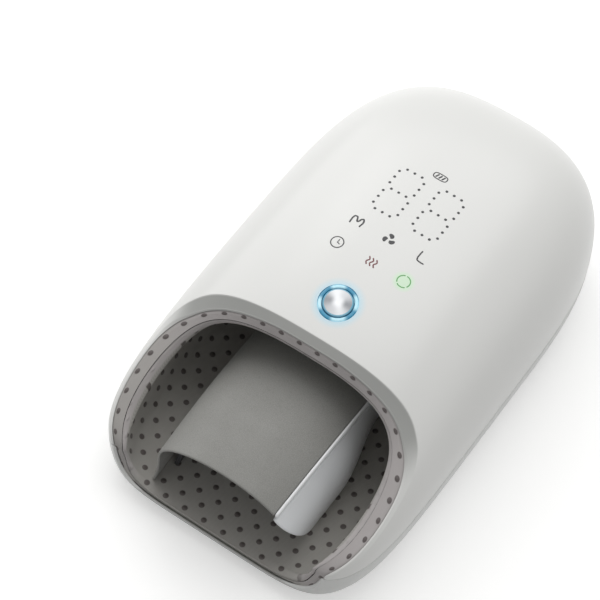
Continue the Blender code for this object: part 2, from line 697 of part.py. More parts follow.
def base_angles():
    """Angles round the plan, with two close columns at each end of the lip."""
    def angle_at(y):
        share = ((WIDEST_Y - y) / FRONT_REACH) ** (PLAN_FRONT_SHAPE / 2)
        return math.asin(share)
    before = angle_at(CORNER_Y + STEP_WIDTH / 2)
    after = angle_at(CORNER_Y - STEP_WIDTH / 2)
    back = np.linspace(0, math.pi, BASE_BACK_COLUMNS)
    left = np.linspace(math.pi, math.pi + before, BASE_SIDE_COLUMNS)[1:]
    lip = np.linspace(math.pi + after, 2 * math.pi - after, BASE_LIP_COLUMNS)
    right = np.linspace(2 * math.pi - before, 2 * math.pi, BASE_SIDE_COLUMNS)[:-1]
    return np.concatenate([back, left, lip, right])


def base_round(height, floor):
    """How far the lower edge draws in at a height, as a quarter of an ellipse."""
    share = np.clip((floor + BASE_ROUND_HEIGHT - height) / BASE_ROUND_HEIGHT, 0, 1)
    return BASE_ROUND_WIDTH * (1 - np.sqrt(1 - share ** 2))


def base_grid(wall, floor):
    angle = base_angles()
    _, rim = plan_outline(angle, 0, 0)
    on_lip = rim < CORNER_Y
    top = np.where(on_lip, LIP_HEIGHT, SEAM_HEIGHT - GAP)
    height = top + (floor - top) * np.array(BASE_ROW_SHARES)[:, None]
    rounded = base_round(height, floor)
    below_lip = np.maximum(rounded - base_round(LIP_HEIGHT, floor), 0)
    lip_wall = np.where(on_lip, (LIP_WALL * wall / BASE_WALL) * np.abs(np.sin(angle)), 0)
    x, y = plan_outline(np.broadcast_to(angle, height.shape), rounded + wall,
                        FRONT_INSET_SHARE * (below_lip + wall) + lip_wall)
    centre = np.stack([0 * x[-1], WIDEST_Y + 0 * x[-1], floor + 0 * x[-1]], -1)
    return np.concatenate([np.stack([x, y, height], -1), centre[None]])


def build_base_shell():
    outer = base_grid(0, BASE_HEIGHT)
    inner = base_grid(BASE_WALL, FLOOR_BASE)
    shell = thick_sheet("base_shell", outer, inner, "base_white", closed=True, join_last=False)
    for number, (x, y) in enumerate(HOUSING_SCREW_PLACES, 1):
        post = rod(f"base_post_{number}", "base_white", (x, y, 0), BOSS_RADIUS,
                   BASE_HEIGHT + BASE_WALL / 2, SEAM_HEIGHT - GAP)
        combine(shell, post, "UNION")
        bore = stepped_bore(f"base_bore_{number}", (x, y, 0), SCREW_HEAD_RADIUS + GAP,
                            BASE_HEIGHT + COUNTERBORE_DEPTH, SCREW_RADIUS + GAP, SEAM_HEIGHT * 2)
        combine(shell, bore, "DIFFERENCE")
    for side in (-1, 1):
        bore = rod(f"plinth_bore_{side}", "base_white", (side * PLINTH_SCREW_X, PLINTH_SCREW_Y, 0),
                   PLINTH_SCREW_RADIUS + GAP, 0, FLOOR_BASE + BASE_WALL)
        combine(shell, bore, "DIFFERENCE")


def build_housing_screws():
    for number, (x, y) in enumerate(HOUSING_SCREW_PLACES, 1):
        seat = BASE_HEIGHT + COUNTERBORE_DEPTH - GAP
        tip = SEAM_HEIGHT + SCREW_BITE
        low = seat - SCREW_HEAD_HEIGHT
        profile = ((0, low), (SCREW_HEAD_RADIUS, low), (SCREW_HEAD_RADIUS, seat), (SCREW_RADIUS, seat),
                   (SCREW_RADIUS, tip - SCREW_RADIUS), (0, tip))
        turned(f"housing_screw_{number}", profile, "steel", (x, y, 0), segments=SMALL_SEGMENTS)


def build_plinth():
    """Flat plate with round corners under the base, cut for the socket, the feet and its screws."""
    quarter = np.linspace(0, math.pi / 2, CORNER_STEPS)
    half = PLINTH_WIDTH / 2 - PLINTH_CORNER
    corners = ((half, PLINTH_BACK_Y - PLINTH_CORNER, 0), (-half, PLINTH_BACK_Y - PLINTH_CORNER, 1),
               (-half, PLINTH_FRONT_Y + PLINTH_CORNER, 2), (half, PLINTH_FRONT_Y + PLINTH_CORNER, 3))
    outline = []
    for x, y, turn in corners:
        angle = quarter + turn * math.pi / 2
        outline.extend(zip(x + PLINTH_CORNER * np.cos(angle), y + PLINTH_CORNER * np.sin(angle)))
    low, high = PLINTH_HEIGHT, BASE_HEIGHT - GAP
    count = len(outline)
    points = [(x, y, low) for x, y in outline] + [(x, y, high) for x, y in outline]
    faces = [tuple(reversed(range(count))), tuple(range(count, 2 * count))]
    faces += [(i, (i + 1) % count, count + (i + 1) % count, count + i) for i in range(count)]
    plinth = make_object("base_plinth", points, faces, "base_white")
    notch = box("notch", "base_white", (-PLINTH_WIDTH, NOTCH_Y - NOTCH_WIDTH / 2, 0),
                (-PLINTH_WIDTH / 2 + NOTCH_DEPTH, NOTCH_Y + NOTCH_WIDTH / 2, BASE_HEIGHT + BASE_WALL))
    combine(plinth, notch, "DIFFERENCE")
    for side in (-1, 1):
        place = (side * PLINTH_SCREW_X, PLINTH_SCREW_Y, 0)
        bore = stepped_bore(f"plinth_hole_{side}", place, PLINTH_SCREW_HEAD_RADIUS + GAP,
                            PLINTH_HEIGHT + PLINTH_SCREW_HEAD_HEIGHT + 2 * GAP, PLINTH_SCREW_RADIUS + GAP,
                            BASE_HEIGHT * 2)
        combine(plinth, bore, "DIFFERENCE")


def build_plinth_screws():
    seat = PLINTH_HEIGHT + PLINTH_SCREW_HEAD_HEIGHT + GAP
    tip = FLOOR_BASE - GAP
    low = seat - PLINTH_SCREW_HEAD_HEIGHT
    for number, side in enumerate((-1, 1), 1):
        profile = ((0, low), (PLINTH_SCREW_HEAD_RADIUS, low), (PLINTH_SCREW_HEAD_RADIUS, seat),
                   (PLINTH_SCREW_RADIUS, seat), (PLINTH_SCREW_RADIUS, tip), (0, tip))
        turned(f"plinth_screw_{number}", profile, "steel", (side * PLINTH_SCREW_X, PLINTH_SCREW_Y, 0),
               segments=SMALL_SEGMENTS)


def build_charge_port():
    """Socket block in the notch, with its slot open to the left side."""
    back_x = -PLINTH_WIDTH / 2 + NOTCH_DEPTH - GAP
    front_x = back_x - PORT_DEPTH
    low, high = PLINTH_HEIGHT + GAP, BASE_HEIGHT - GAP
    port = box("charge_port", "frame_plastic", (front_x, NOTCH_Y - PORT_WIDTH / 2, low),
               (back_x, NOTCH_Y + PORT_WIDTH / 2, high))
    middle = (low + high) / 2
    slot = box("port_slot", "frame_plastic",
               (front_x - PORT_DEPTH, NOTCH_Y - PORT_SLOT_WIDTH / 2, middle - PORT_SLOT_HEIGHT / 2),
               (front_x + PORT_SLOT_DEPTH, NOTCH_Y + PORT_SLOT_WIDTH / 2, middle + PORT_SLOT_HEIGHT / 2))
    combine(port, slot, "DIFFERENCE")


def build_feet():
    places = ((FRONT_FOOT_X, FRONT_FOOT_Y, PLINTH_HEIGHT), (-FRONT_FOOT_X, FRONT_FOOT_Y, PLINTH_HEIGHT),
              (BACK_FOOT_X, BACK_FOOT_Y, BASE_HEIGHT), (-BACK_FOOT_X, BACK_FOOT_Y, BASE_HEIGHT))
    for number, (x, y, seat) in enumerate(places, 1):
        profile = ((0, 0), (FOOT_RADIUS - FOOT_ROUND, 0), (FOOT_RADIUS, FOOT_ROUND),
                   (FOOT_RADIUS, seat - GAP), (0, seat - GAP))
        turned(f"rubber_foot_{number}", profile, "rubber", (x, y, 0))


def mouth_loop(angle, side, top, floor, setback):
    """A closed loop round the mouth on a layer, set back from its rim."""
    layer = Layer(side, top, floor, 0)
    return layer_point(angle, rim_y(angle, layer, setback), layer)


def build_bezel():
    angle = loop_angles()
    side = BEZEL_INSET
    floor = LIP_HEIGHT + GAP
    loops = [mouth_loop(angle, side, side, floor, 0),
             mouth_loop(angle, side + BEZEL_SIDE_WIDTH, side + BEZEL_BROW_WIDTH, floor + BEZEL_LIP_WIDTH, 0),
             mouth_loop(angle, side + BEZEL_SIDE_WIDTH, side + BEZEL_BROW_WIDTH, floor + BEZEL_LIP_WIDTH,
                        BEZEL_DEPTH),
             mouth_loop(angle, side, side, floor, BEZEL_DEPTH)]
    swept_loop("mouth_bezel", loops, "bezel_grey", closed=True)


def mix_layers(first, second, share):
    return Layer(*(a + (b - a) * share for a, b in zip(first, second)))


def rolled_layer(rim_layer, deep_layer, depth):
    """The liner's layer at a depth behind the rim: it rolls inward along a quarter of a circle."""
    share = np.clip(depth / ROLL_DEPTH, 0, 1)
    return mix_layers(rim_layer, deep_layer, np.sqrt(1 - (1 - share) ** 2))


def chamber_rows(angle, first=0):
    """Y of the rows that the chamber's layers share, behind the rolled edge of the mouth."""
    front = rim_y(angle, LINER_RIM_OUTER) + FRAME_SETBACK
    share = np.array(LAYER_ROW_SHARES[first:])[:, None]
    return front + (BAG_BACK_Y - front) * share


def layer_grid(angle, layer, first=0, back_y=None):
    """Points of a layer on the shared rows, and on one more row at back_y."""
    y = chamber_rows(angle, first)
    if back_y is not None:
        y = np.concatenate([y, np.full((1, len(angle)), back_y)])
    return layer_point(np.broadcast_to(angle, y.shape), y, layer)


def liner_grid(rim_layer, deep_layer, back_y):
    """Rows from the mouth's rim through the rolled edge to the end wall, which ends in a point."""
    angle = loop_angles()
    front = rim_y(angle, LINER_RIM_OUTER)
    rows = []
    for roll_share in ROLL_ROW_SHARES:
        depth = roll_share * ROLL_DEPTH
        layer = rolled_layer(rim_layer, deep_layer, depth)
        rows.append(layer_point(angle, front + depth, layer))
    rows.extend(layer_grid(angle, deep_layer, 1, back_y))
    middle = rows[-1].mean(axis=0)
    rows.append(np.broadcast_to(middle, rows[-1].shape))
    return np.stack(rows)


def build_liner():
    outer = liner_grid(LINER_RIM_OUTER, LINER_OUTER, LINER_BACK_Y + LINER_THICKNESS)
    inner = liner_grid(LINER_RIM_INNER, LINER_INNER, LINER_BACK_Y)
    thick_sheet("chamber_liner", outer, inner, "liner_fabric", closed=True, join_last=False)


def build_rim_foam():
    """Foam ring under the liner's rolled edge, from the back of the bezel to the frame."""
    angle = loop_angles()
    side = SHELL_WALL + 3 * GAP
    outside = Layer(side, side, FLOOR_BASE + GAP, 0)
    rim = rim_y(angle, LINER_RIM_OUTER)
    front = rim_y(angle, outside) + BEZEL_DEPTH + GAP
    back = rim + ROLL_DEPTH
    loops = [layer_point(angle, front, outside), layer_point(angle, back, outside)]
    for y in (back, (front + back) / 2, front):
        under = rolled_layer(LINER_RIM_OUTER, LINER_OUTER, y - rim)
        clear = Layer(under.side - 2 * GAP, under.top - 2 * GAP, under.floor - GAP, under.taper)
        loops.append(layer_point(angle, y, clear))
    swept_loop("rim_foam", loops, "foam", closed=True)


def build_chamber_frame():
    angle = loop_angles()
    thick_sheet("chamber_frame", layer_grid(angle, FRAME_OUTER, 0, FRAME_BACK_Y),
                layer_grid(angle, FRAME_INNER, 0, FRAME_BACK_Y), "frame_plastic", closed=True)


def build_floor_foam():
    """Thin foam between the frame's floor and the liner's."""
    angle = angles_between(FLOOR_FOAM_LOW_ANGLE, FLOOR_FOAM_HIGH_ANGLE)
    thick_sheet("floor_foam", layer_grid(angle, BAG_OUTER), layer_grid(angle, BAG_INNER), "foam",
                closed=False)


def build_air_bags():
    low, high = SIDE_BAG_LOW_ANGLE, SIDE_BAG_HIGH_ANGLE
    ranges = {"right_air_bag": (low, high, PAD_INNER), "left_air_bag": (180 - high, 180 - low, PAD_INNER),
              "upper_air_bag": (UPPER_BAG_LOW_ANGLE, UPPER_BAG_HIGH_ANGLE, BAG_INNER)}
    for name, (start, end, inner_layer) in ranges.items():
        angle = angles_between(start, end)
        thick_sheet(name, layer_grid(angle, BAG_OUTER, 1), layer_grid(angle, inner_layer, 1), "air_bag",
                    closed=False)


def build_heating_pad():
    angle = angles_between(UPPER_BAG_LOW_ANGLE, UPPER_BAG_HIGH_ANGLE)
    thick_sheet("heating_pad", layer_grid(angle, PAD_OUTER, 1), layer_grid(angle, PAD_INNER, 1), "heater",
                closed=False)


def rest_share(y):
    return (y - REST_FRONT_Y) / (REST_BACK_Y - REST_FRONT_Y)


def rest_sink(y):
    """How far the palm rest's crown has come down at y, more steeply towards the back."""
    return REST_DROP * rest_share(y) ** 2


def chamber_floor_at(x, y):
    """Height of the liner's floor under a point, and a clearance above it."""
    drawn = LINER_INNER.taper * max(y - BROW_Y, 0)
    share = np.abs(x) / half_width(max(y, CORNER_Y), LINER_INNER.side + drawn)
    return SEAM_HEIGHT - (SEAM_HEIGHT - CHAMBER_FLOOR) * rounded_share(share, FLOOR_SHAPE) + REST_CLEARANCE


def rest_profile(y, inset):
    """The arch's section at y from its left foot over the crown to the ridge, drawn in by an inset.

    Its left side swells outward by half a sine wave along its length, and its right side runs straight.
    """
    turn = np.linspace(math.pi, RIDGE_ANGLE, REST_STEPS)
    sink = rest_sink(y)
    shoulder = REST_SHOULDER - SHOULDER_DROP_SHARE * sink
    rise = REST_CROWN - sink - shoulder
    swell = REST_SWELL * np.sin(math.pi * rest_share(y))
    reach = REST_HALF_WIDTH + np.where(np.cos(turn) < 0, swell, 0)
    x = REST_CENTRE_X + (reach - inset) * np.cos(turn)
    z = shoulder + (rise - inset) * np.sin(turn)
    leg_share = np.array(LEG_ROW_SHARES)
    leg_x = x[0] - REST_FOOT_FLARE * leg_share ** 2
    floor = chamber_floor_at(leg_x[0] - inset, y)
    leg_z = floor + (shoulder - floor) * (1 - leg_share)
    return np.concatenate([leg_x, x]), np.concatenate([leg_z, z])


def rest_grid(inset, front_y, back_y, rows=REST_ROWS):
    grid = []
    for y in np.linspace(front_y, back_y, rows):
        x, z = rest_profile(y, inset)
        grid.append(np.stack([x, np.full_like(x, y), z], -1))
    return np.stack(grid)


def build_palm_rest():
    """Three nested arches: the rigid frame, the foam over it and the smooth cover."""
    cover_in = REST_COVER
    pad_out = cover_in + GAP
    pad_in = pad_out + REST_PAD
    frame_out = pad_in + GAP
    frame_in = frame_out + REST_FRAME
    thick_sheet("palm_rest_cover", rest_grid(0, REST_FRONT_Y, REST_BACK_Y),
                rest_grid(cover_in, REST_FRONT_Y, REST_BACK_Y), "rest_grey", closed=False)
    front, back = REST_FRONT_Y + REST_EDGE_SETBACK, REST_BACK_Y - REST_EDGE_SETBACK
    thick_sheet("palm_rest_pad", rest_grid(pad_out, front, back), rest_grid(pad_in, front, back),
                "foam", closed=False)
    thick_sheet("palm_rest_frame", rest_grid(frame_out, front, back), rest_grid(frame_in, front, back),
                "frame_plastic", closed=False)


def ridge_point(y):
    """The right end of the arch's section, where the bead runs."""
    x, z = rest_profile(y, 0)
    return x[-1], z[-1]


def build_rest_bead():
    """Round bead along the ridge, just past the edge of the cover."""
    angles = np.linspace(0, 2 * math.pi, SMALL_SEGMENTS, endpoint=False)
    rings = []
    for y in np.linspace(REST_FRONT_Y, REST_BACK_Y, REST_ROWS):
        x, z = ridge_point(y)
        reach = BEAD_RADIUS + GAP
        rings.append(np.stack([x + reach * math.sin(RIDGE_ANGLE) + BEAD_RADIUS * np.cos(angles),
                               np.full_like(angles, y),
                               z - reach * math.cos(RIDGE_ANGLE) + BEAD_RADIUS * np.sin(angles)], -1))
    caps = [np.broadcast_to(ring.mean(axis=0), ring.shape) for ring in (rings[0], rings[-1])]
    grid = np.stack([caps[0]] + rings + [caps[1]])
    faces = grid_faces(len(grid), len(angles), closed=True)
    make_object("palm_rest_edge", grid.reshape(-1, 3), faces, "bead_white")


def cheek_grid(inset, rows=REST_ROWS, steps=CHEEK_STEPS):
    """The cheek panel from under the bead down to the floor, with its front edge slanting back.

    Behind its widest place the foot and the bulge draw in along a smooth step.
    """
    share = np.linspace(0, 1, steps)
    grid = []
    for row in np.linspace(0, 1, rows):
        front = REST_FRONT_Y + CHEEK_SLANT * share ** CHEEK_SLANT_SHAPE
        y = front + (REST_BACK_Y - front) * row
        top = np.array([ridge_point(value) for value in y])
        start_x = top[:, 0] + BEAD_RADIUS * math.sin(RIDGE_ANGLE)
        start_z = top[:, 1] - 2 * (BEAD_RADIUS + GAP) - BEAD_RADIUS * math.cos(RIDGE_ANGLE)
        way = np.clip((y - REST_FRONT_Y - CHEEK_NARROW_START) / CHEEK_NARROW_LENGTH, 0, 1)
        narrowing = CHEEK_NARROWING * way ** 2 * (3 - 2 * way)
        foot_x = CHEEK_FOOT_X - narrowing
        bulge = (CHEEK_BULGE - narrowing / 2) * np.sin(math.pi * share)
        x = start_x + (foot_x - start_x) * share + bulge - inset
        floor = chamber_floor_at(CHEEK_FOOT_X, y[-1])
        z = start_z + (floor - start_z) * share
        grid.append(np.stack([x, y, z], -1))
    return np.stack(grid)


def build_rest_cheek():
    thick_sheet("palm_rest_cheek", cheek_grid(0), cheek_grid(CHEEK_WALL), "cheek_grey", closed=False)


def build_button():
    """Domed cap with a flange under the ring and a stem down to the switch."""
    tilt = button_tilt()
    centre = button_centre()
    turns = np.linspace(0, math.pi / 2, DOME_STEPS)
    dome = [(CAP_RADIUS * math.sin(turn), CAP_DOME * math.cos(turn)) for turn in turns]
    stem_end = plunger_top() + GAP + PLUNGER_RADIUS * math.sin(tilt)
    stem = stem_end - centre[2]
    flange = -SHELL_WALL - GAP
    sleeve_low = flange - RING_FLANGE_HEIGHT
    skirt = sleeve_low - RUNNING_GAP
    flange_low = skirt - CAP_FLANGE_HEIGHT
    profile = [(0, stem), (PLUNGER_RADIUS, stem), (PLUNGER_RADIUS, flange_low),
               (CAP_FLANGE_RADIUS, flange_low), (CAP_FLANGE_RADIUS, skirt), (CAP_RADIUS, skirt)]
    profile += dome[::-1]
    turned("power_button", profile, "silver", centre, tilt=tilt)
    ring_in = CAP_RADIUS + RUNNING_GAP
    loops = []
    angles = np.linspace(0, 2 * math.pi, RING_SEGMENTS, endpoint=False)
    outline = ((ring_in, sleeve_low), (RING_FLANGE_RADIUS, sleeve_low), (RING_FLANGE_RADIUS, flange),
               (RING_RADIUS, flange), (RING_RADIUS, RING_PROUD), (ring_in, RING_PROUD))
    for radius, height in outline:
        across, along = radius * np.cos(angles), radius * np.sin(angles)
        y = along * math.cos(tilt) - height * math.sin(tilt)
        z = along * math.sin(tilt) + height * math.cos(tilt)
        loops.append(np.stack([across, y, z], -1) + np.asarray(centre))
    swept_loop("button_ring", loops, "ring_blue", closed=True)


def plunger_top():
    return board_top() + GAP + SWITCH_HEIGHT + PLUNGER_PROUD


def switch_y():
    """The switch stands under the lower end of the tilted stem."""
    drop = button_centre()[2] - plunger_top()
    return BUTTON_Y + drop * math.sin(button_tilt())


def build_switch():
    low = board_top() + GAP
    half = SWITCH_SIZE / 2
    y = switch_y()
    body = box("button_switch", "frame_plastic", (-half, y - half, low),
               (half, y + half, low + SWITCH_HEIGHT))
    well = rod("switch_well", "frame_plastic", (0, y, low), PLUNGER_RADIUS + GAP, SWITCH_FLOOR,
               SWITCH_HEIGHT * 2)
    combine(body, well, "DIFFERENCE")
    rod("switch_plunger", "steel", (0, y, low), PLUNGER_RADIUS, SWITCH_FLOOR + BUTTON_TRAVEL + GAP,
        SWITCH_HEIGHT + PLUNGER_PROUD, segments=SMALL_SEGMENTS)


def build_display():
    """Board with two screws that hold it up to the shell's bosses."""
    low = display_height()
    board = box("display_board", "board_green", (-DISPLAY_HALF_WIDTH, DISPLAY_FRONT_Y, low),
                (DISPLAY_HALF_WIDTH, DISPLAY_BACK_Y, board_top()))
    for number, (x, y) in enumerate(display_screw_places(), 1):
        hole = rod(f"board_hole_{number}", "board_green", (x, y, low), DISPLAY_SCREW_RADIUS + GAP,
                   -BOARD_THICKNESS, BOARD_THICKNESS * 2)
        combine(board, hole, "DIFFERENCE")
        profile = ((0, -DISPLAY_SCREW_HEAD_HEIGHT), (DISPLAY_SCREW_HEAD_RADIUS, -DISPLAY_SCREW_HEAD_HEIGHT),
                   (DISPLAY_SCREW_HEAD_RADIUS, 0), (DISPLAY_SCREW_RADIUS, 0),
                   (DISPLAY_SCREW_RADIUS, DISPLAY_SCREW_LENGTH), (0, DISPLAY_SCREW_LENGTH))
        turned(f"display_screw_{number}", profile, "steel", (x, y, low - GAP), segments=SMALL_SEGMENTS)


def build_light_mask():
    """Block between the board and the shell, with a well behind each lit mark."""
    y = np.linspace(MASK_FRONT_Y, MASK_BACK_Y, MASK_STEPS)
    x = np.linspace(-MASK_HALF_WIDTH, MASK_HALF_WIDTH, MASK_STEPS)
    plan_x, plan_y = np.meshgrid(x, y)
    top = surface_height(plan_x, plan_y, SHELL_WALL + 2 * GAP)
    foot = np.full_like(top, board_top() + GAP)
    upper = np.stack([plan_x, plan_y, top], -1)
    lower = np.stack([plan_x, plan_y, foot], -1)
    mask = thick_sheet("light_mask", upper, lower, "frame_plastic", closed=False)
    half_width_cut = DIGIT_WIDTH / 2
    half_height_cut = DIGIT_HEIGHT / 2 + WINDOW_MARGIN
    for side in (-1, 1):
        middle = side * DIGIT_X + WINDOW_MARGIN / 2
        window = box(f"digit_window_{side}", "frame_plastic",
                     (middle - half_width_cut, DIGIT_Y - half_height_cut, display_height()),
                     (middle + half_width_cut, DIGIT_Y + half_height_cut, TOP_HEIGHT))
        combine(mask, window, "DIFFERENCE")
    for row_y in (KEY_ROW_Y, SIGN_ROW_Y):
        for column in (-1, 0, 1):
            well = rod(f"well_{column}_{row_y:.3f}", "frame_plastic", (column * KEY_X, row_y, 0), WELL_RADIUS,
                       display_height(), TOP_HEIGHT, segments=SMALL_SEGMENTS)
            combine(mask, well, "DIFFERENCE")


def carrier_floor():
    return FLOOR_BASE + GAP


def carrier_top():
    return carrier_floor() + CARRIER_FLOOR


def cell_height():
    return carrier_top() + GAP + HOLDER_WALL + GAP + CELL_RADIUS


def column_top():
    return cell_height() + CELL_RADIUS + 2 * GAP


def shelf_top():
    return column_top() + GAP + SHELF_THICKNESS


def pump_height():
    return shelf_top() + GAP + HEAD_RADIUS


def board_height():
    return pump_height() + HEAD_RADIUS + MAIN_BOARD_CLEARANCE


def column_places():
    return [(side * COLUMN_X, y) for y in (COLUMN_FRONT_Y, COLUMN_BACK_Y) for side in (-1, 1)]


def build_carrier():
    carrier = box("rear_carrier", "frame_plastic", (-CARRIER_HALF_WIDTH, CARRIER_FRONT_Y, carrier_floor()),
                  (CARRIER_HALF_WIDTH, CARRIER_BACK_Y, carrier_top()))
    for number, (x, y) in enumerate(column_places(), 1):
        column = rod(f"column_{number}", "frame_plastic", (x, y, 0), COLUMN_RADIUS,
                     carrier_floor() + CARRIER_FLOOR / 2, column_top(), segments=SMALL_SEGMENTS)
        combine(carrier, column, "UNION")


def build_battery():
    """Open holder on the carrier, with two round cells side by side."""
    pitch = 2 * (CELL_RADIUS + GAP) + HOLDER_WALL
    low = carrier_top() + GAP
    half = CELL_LENGTH / 2 + GAP + HOLDER_WALL
    front = CELL_FIRST_Y - CELL_RADIUS - GAP - HOLDER_WALL
    back = CELL_FIRST_Y + pitch + CELL_RADIUS + GAP + HOLDER_WALL
    holder = box("battery_holder", "frame_plastic", (-half, front, low), (half, back, low + HOLDER_HEIGHT))
    for number in (1, 2):
        place = (0, CELL_FIRST_Y + (number - 1) * pitch, cell_height())
        bed = rod(f"cell_bed_{number}", "frame_plastic", place, CELL_RADIUS + GAP,
                  -CELL_LENGTH / 2 - GAP, CELL_LENGTH / 2 + GAP, axis="X")
        combine(holder, bed, "DIFFERENCE")
        rod(f"battery_cell_{number}", "cell_wrap", place, CELL_RADIUS, -CELL_LENGTH / 2, CELL_LENGTH / 2,
            axis="X")


def build_shelf_and_board():
    """Shelf over the cells for the pump, with four posts that carry the main board."""
    low = column_top() + GAP
    shelf = box("pump_shelf", "frame_plastic", (-CARRIER_HALF_WIDTH, SHELF_FRONT_Y, low),
                (CARRIER_HALF_WIDTH, SHELF_BACK_Y, low + SHELF_THICKNESS))
    posts = [(side * POST_X, y) for y in (SHELF_FRONT_Y + POST_RADIUS + GAP, SHELF_BACK_Y - POST_RADIUS - GAP)
             for side in (-1, 1)]
    for number, (x, y) in enumerate(posts, 1):
        post = rod(f"post_{number}", "frame_plastic", (x, y, 0), POST_RADIUS, low + SHELF_THICKNESS / 2,
                   board_height() - GAP, segments=SMALL_SEGMENTS)
        combine(shelf, post, "UNION")
    half = POST_X + POST_RADIUS
    box("main_board", "board_green", (-half, SHELF_FRONT_Y, board_height()),
        (half, SHELF_BACK_Y, board_height() + BOARD_THICKNESS))


def head_face():
    """X of the face where the motor meets the pump's head."""
    return MOTOR_BACK_X + MOTOR_LENGTH


def build_pump():
    centre = (0, PUMP_Y, pump_height())
    face = head_face()
    rod("pump_motor", "steel", centre, MOTOR_RADIUS, MOTOR_BACK_X, face, axis="X")
    start = face + GAP
    bore = HEAD_RADIUS - HEAD_WALL
    end = start + HEAD_LENGTH
    profile = ((0, start + HEAD_BORE_DEPTH), (bore, start + HEAD_BORE_DEPTH), (bore, start),
               (HEAD_RADIUS, start), (HEAD_RADIUS, end), (NOZZLE_RADIUS, end),
               (NOZZLE_RADIUS, end + NOZZLE_LENGTH), (0, end + NOZZLE_LENGTH))
    turned("pump_head", profile, "frame_plastic", centre, axis="X")
    rotor = rod("pump_rotor", "steel", centre, SHAFT_RADIUS, start, start + SHAFT_LENGTH, axis="X",
                segments=SMALL_SEGMENTS)
    lobe_start = start + SHAFT_LENGTH - ECCENTRIC_WIDTH
    lobe = rod("lobe", "steel", (0, PUMP_Y, pump_height() + ECCENTRIC_THROW), ECCENTRIC_RADIUS, lobe_start,
               lobe_start + ECCENTRIC_WIDTH + GAP, axis="X")
    combine(rotor, lobe, "UNION")


def valve_floor():
    return carrier_top() + GAP + MANIFOLD_HEIGHT + GAP


def build_valves():
    low = carrier_top() + GAP
    half = VALVE_WIDTH / 2
    manifold = box("valve_manifold", "frame_plastic", (-MANIFOLD_HALF_LENGTH, VALVE_Y - half, low),
                   (MANIFOLD_HALF_LENGTH, VALVE_Y + half, low + MANIFOLD_HEIGHT))
    nozzle = rod("manifold_nozzle", "frame_plastic", (0, VALVE_Y, low + MANIFOLD_HEIGHT / 2), NOZZLE_RADIUS,
                 MANIFOLD_HALF_LENGTH - NOZZLE_LENGTH, MANIFOLD_HALF_LENGTH + NOZZLE_LENGTH, axis="X",
                 segments=SMALL_SEGMENTS)
    combine(manifold, nozzle, "UNION")
    floor = valve_floor()
    top = floor + VALVE_HEIGHT
    for number, place in enumerate((-1, 0, 1), 1):
        x = place * VALVE_SPACING
        body = box(f"valve_body_{number}", "steel", (x - half, VALVE_Y - half, floor),
                   (x + half, VALVE_Y + half, top))
        bore = rod(f"valve_bore_{number}", "steel", (x, VALVE_Y, top), STEM_RADIUS + GAP, -VALVE_BORE_DEPTH,
                   VALVE_BORE_DEPTH, segments=SMALL_SEGMENTS)
        combine(body, bore, "DIFFERENCE")
        cap = GAP + SPRING_HEIGHT + GAP
        profile = ((0, -STEM_SINK), (STEM_RADIUS, -STEM_SINK), (STEM_RADIUS, cap), (STEM_CAP_RADIUS, cap),
                   (STEM_CAP_RADIUS, cap + STEM_CAP_HEIGHT), (0, cap + STEM_CAP_HEIGHT))
        turned(f"valve_plunger_{number}", profile, "steel", (x, VALVE_Y, top), segments=SMALL_SEGMENTS)
        sleeve(f"valve_spring_{number}", "steel", (x, VALVE_Y, top), STEM_RADIUS + GAP,
               STEM_RADIUS + GAP + SPRING_WALL, GAP, GAP + SPRING_HEIGHT, segments=SMALL_SEGMENTS)


def smooth_route(points, per_span=2):
    """Points along a smooth curve through a route, with both ends straight."""
    route = [np.asarray(point, dtype=float) for point in points]
    route = [2 * route[0] - route[1]] + route + [2 * route[-1] - route[-2]]
    out = []
    for first, second, third, fourth in zip(route, route[1:], route[2:], route[3:]):
        for step in range(per_span):
            share = step / per_span
            out.append(0.5 * ((2 * second) + (third - first) * share
                              + (2 * first - 5 * second + 4 * third - fourth) * share ** 2
                              + (3 * second - first - 3 * third + fourth) * share ** 3))
    out.append(route[-2])
    return out


def tube(name, points, start_way, end_way):
    """A round tube through the points, straight for a short way where it leaves each end."""
    first, last = np.array(points[0]), np.array(points[-1])
    start_way, end_way = np.array(start_way), np.array(end_way)
    inner_points = [first, first + TUBE_RADIUS * start_way, first + 2 * TUBE_RADIUS * start_way]
    inner_points += list(points[1:-1])
    inner_points += [last + 2 * TUBE_RADIUS * end_way, last + TUBE_RADIUS * end_way, last]
    curve = bpy.data.curves.new(name, "CURVE")
    curve.dimensions = "3D"
    curve.bevel_depth = TUBE_RADIUS
    curve.bevel_resolution = 2
    curve.use_fill_caps = True
    spline = curve.splines.new("POLY")
    route = smooth_route(inner_points)
    spline.points.add(len(route) - 1)
    for point, place in zip(spline.points, route):
        point.co = (*place, 1.0)
    made = bpy.data.objects.new(name, curve)
    curve.materials.append(material("tube_clear"))
    bpy.context.scene.collection.objects.link(made)


def bag_middle(angle, y):
    """Middle of the space between frame and liner at an angle and y, where a bag's tube runs."""
    outer = layer_point(np.array(angle), np.array(y), FRAME_INNER)
    inner = layer_point(np.array(angle), np.array(y), LINER_OUTER)
    return (outer + inner) / 2


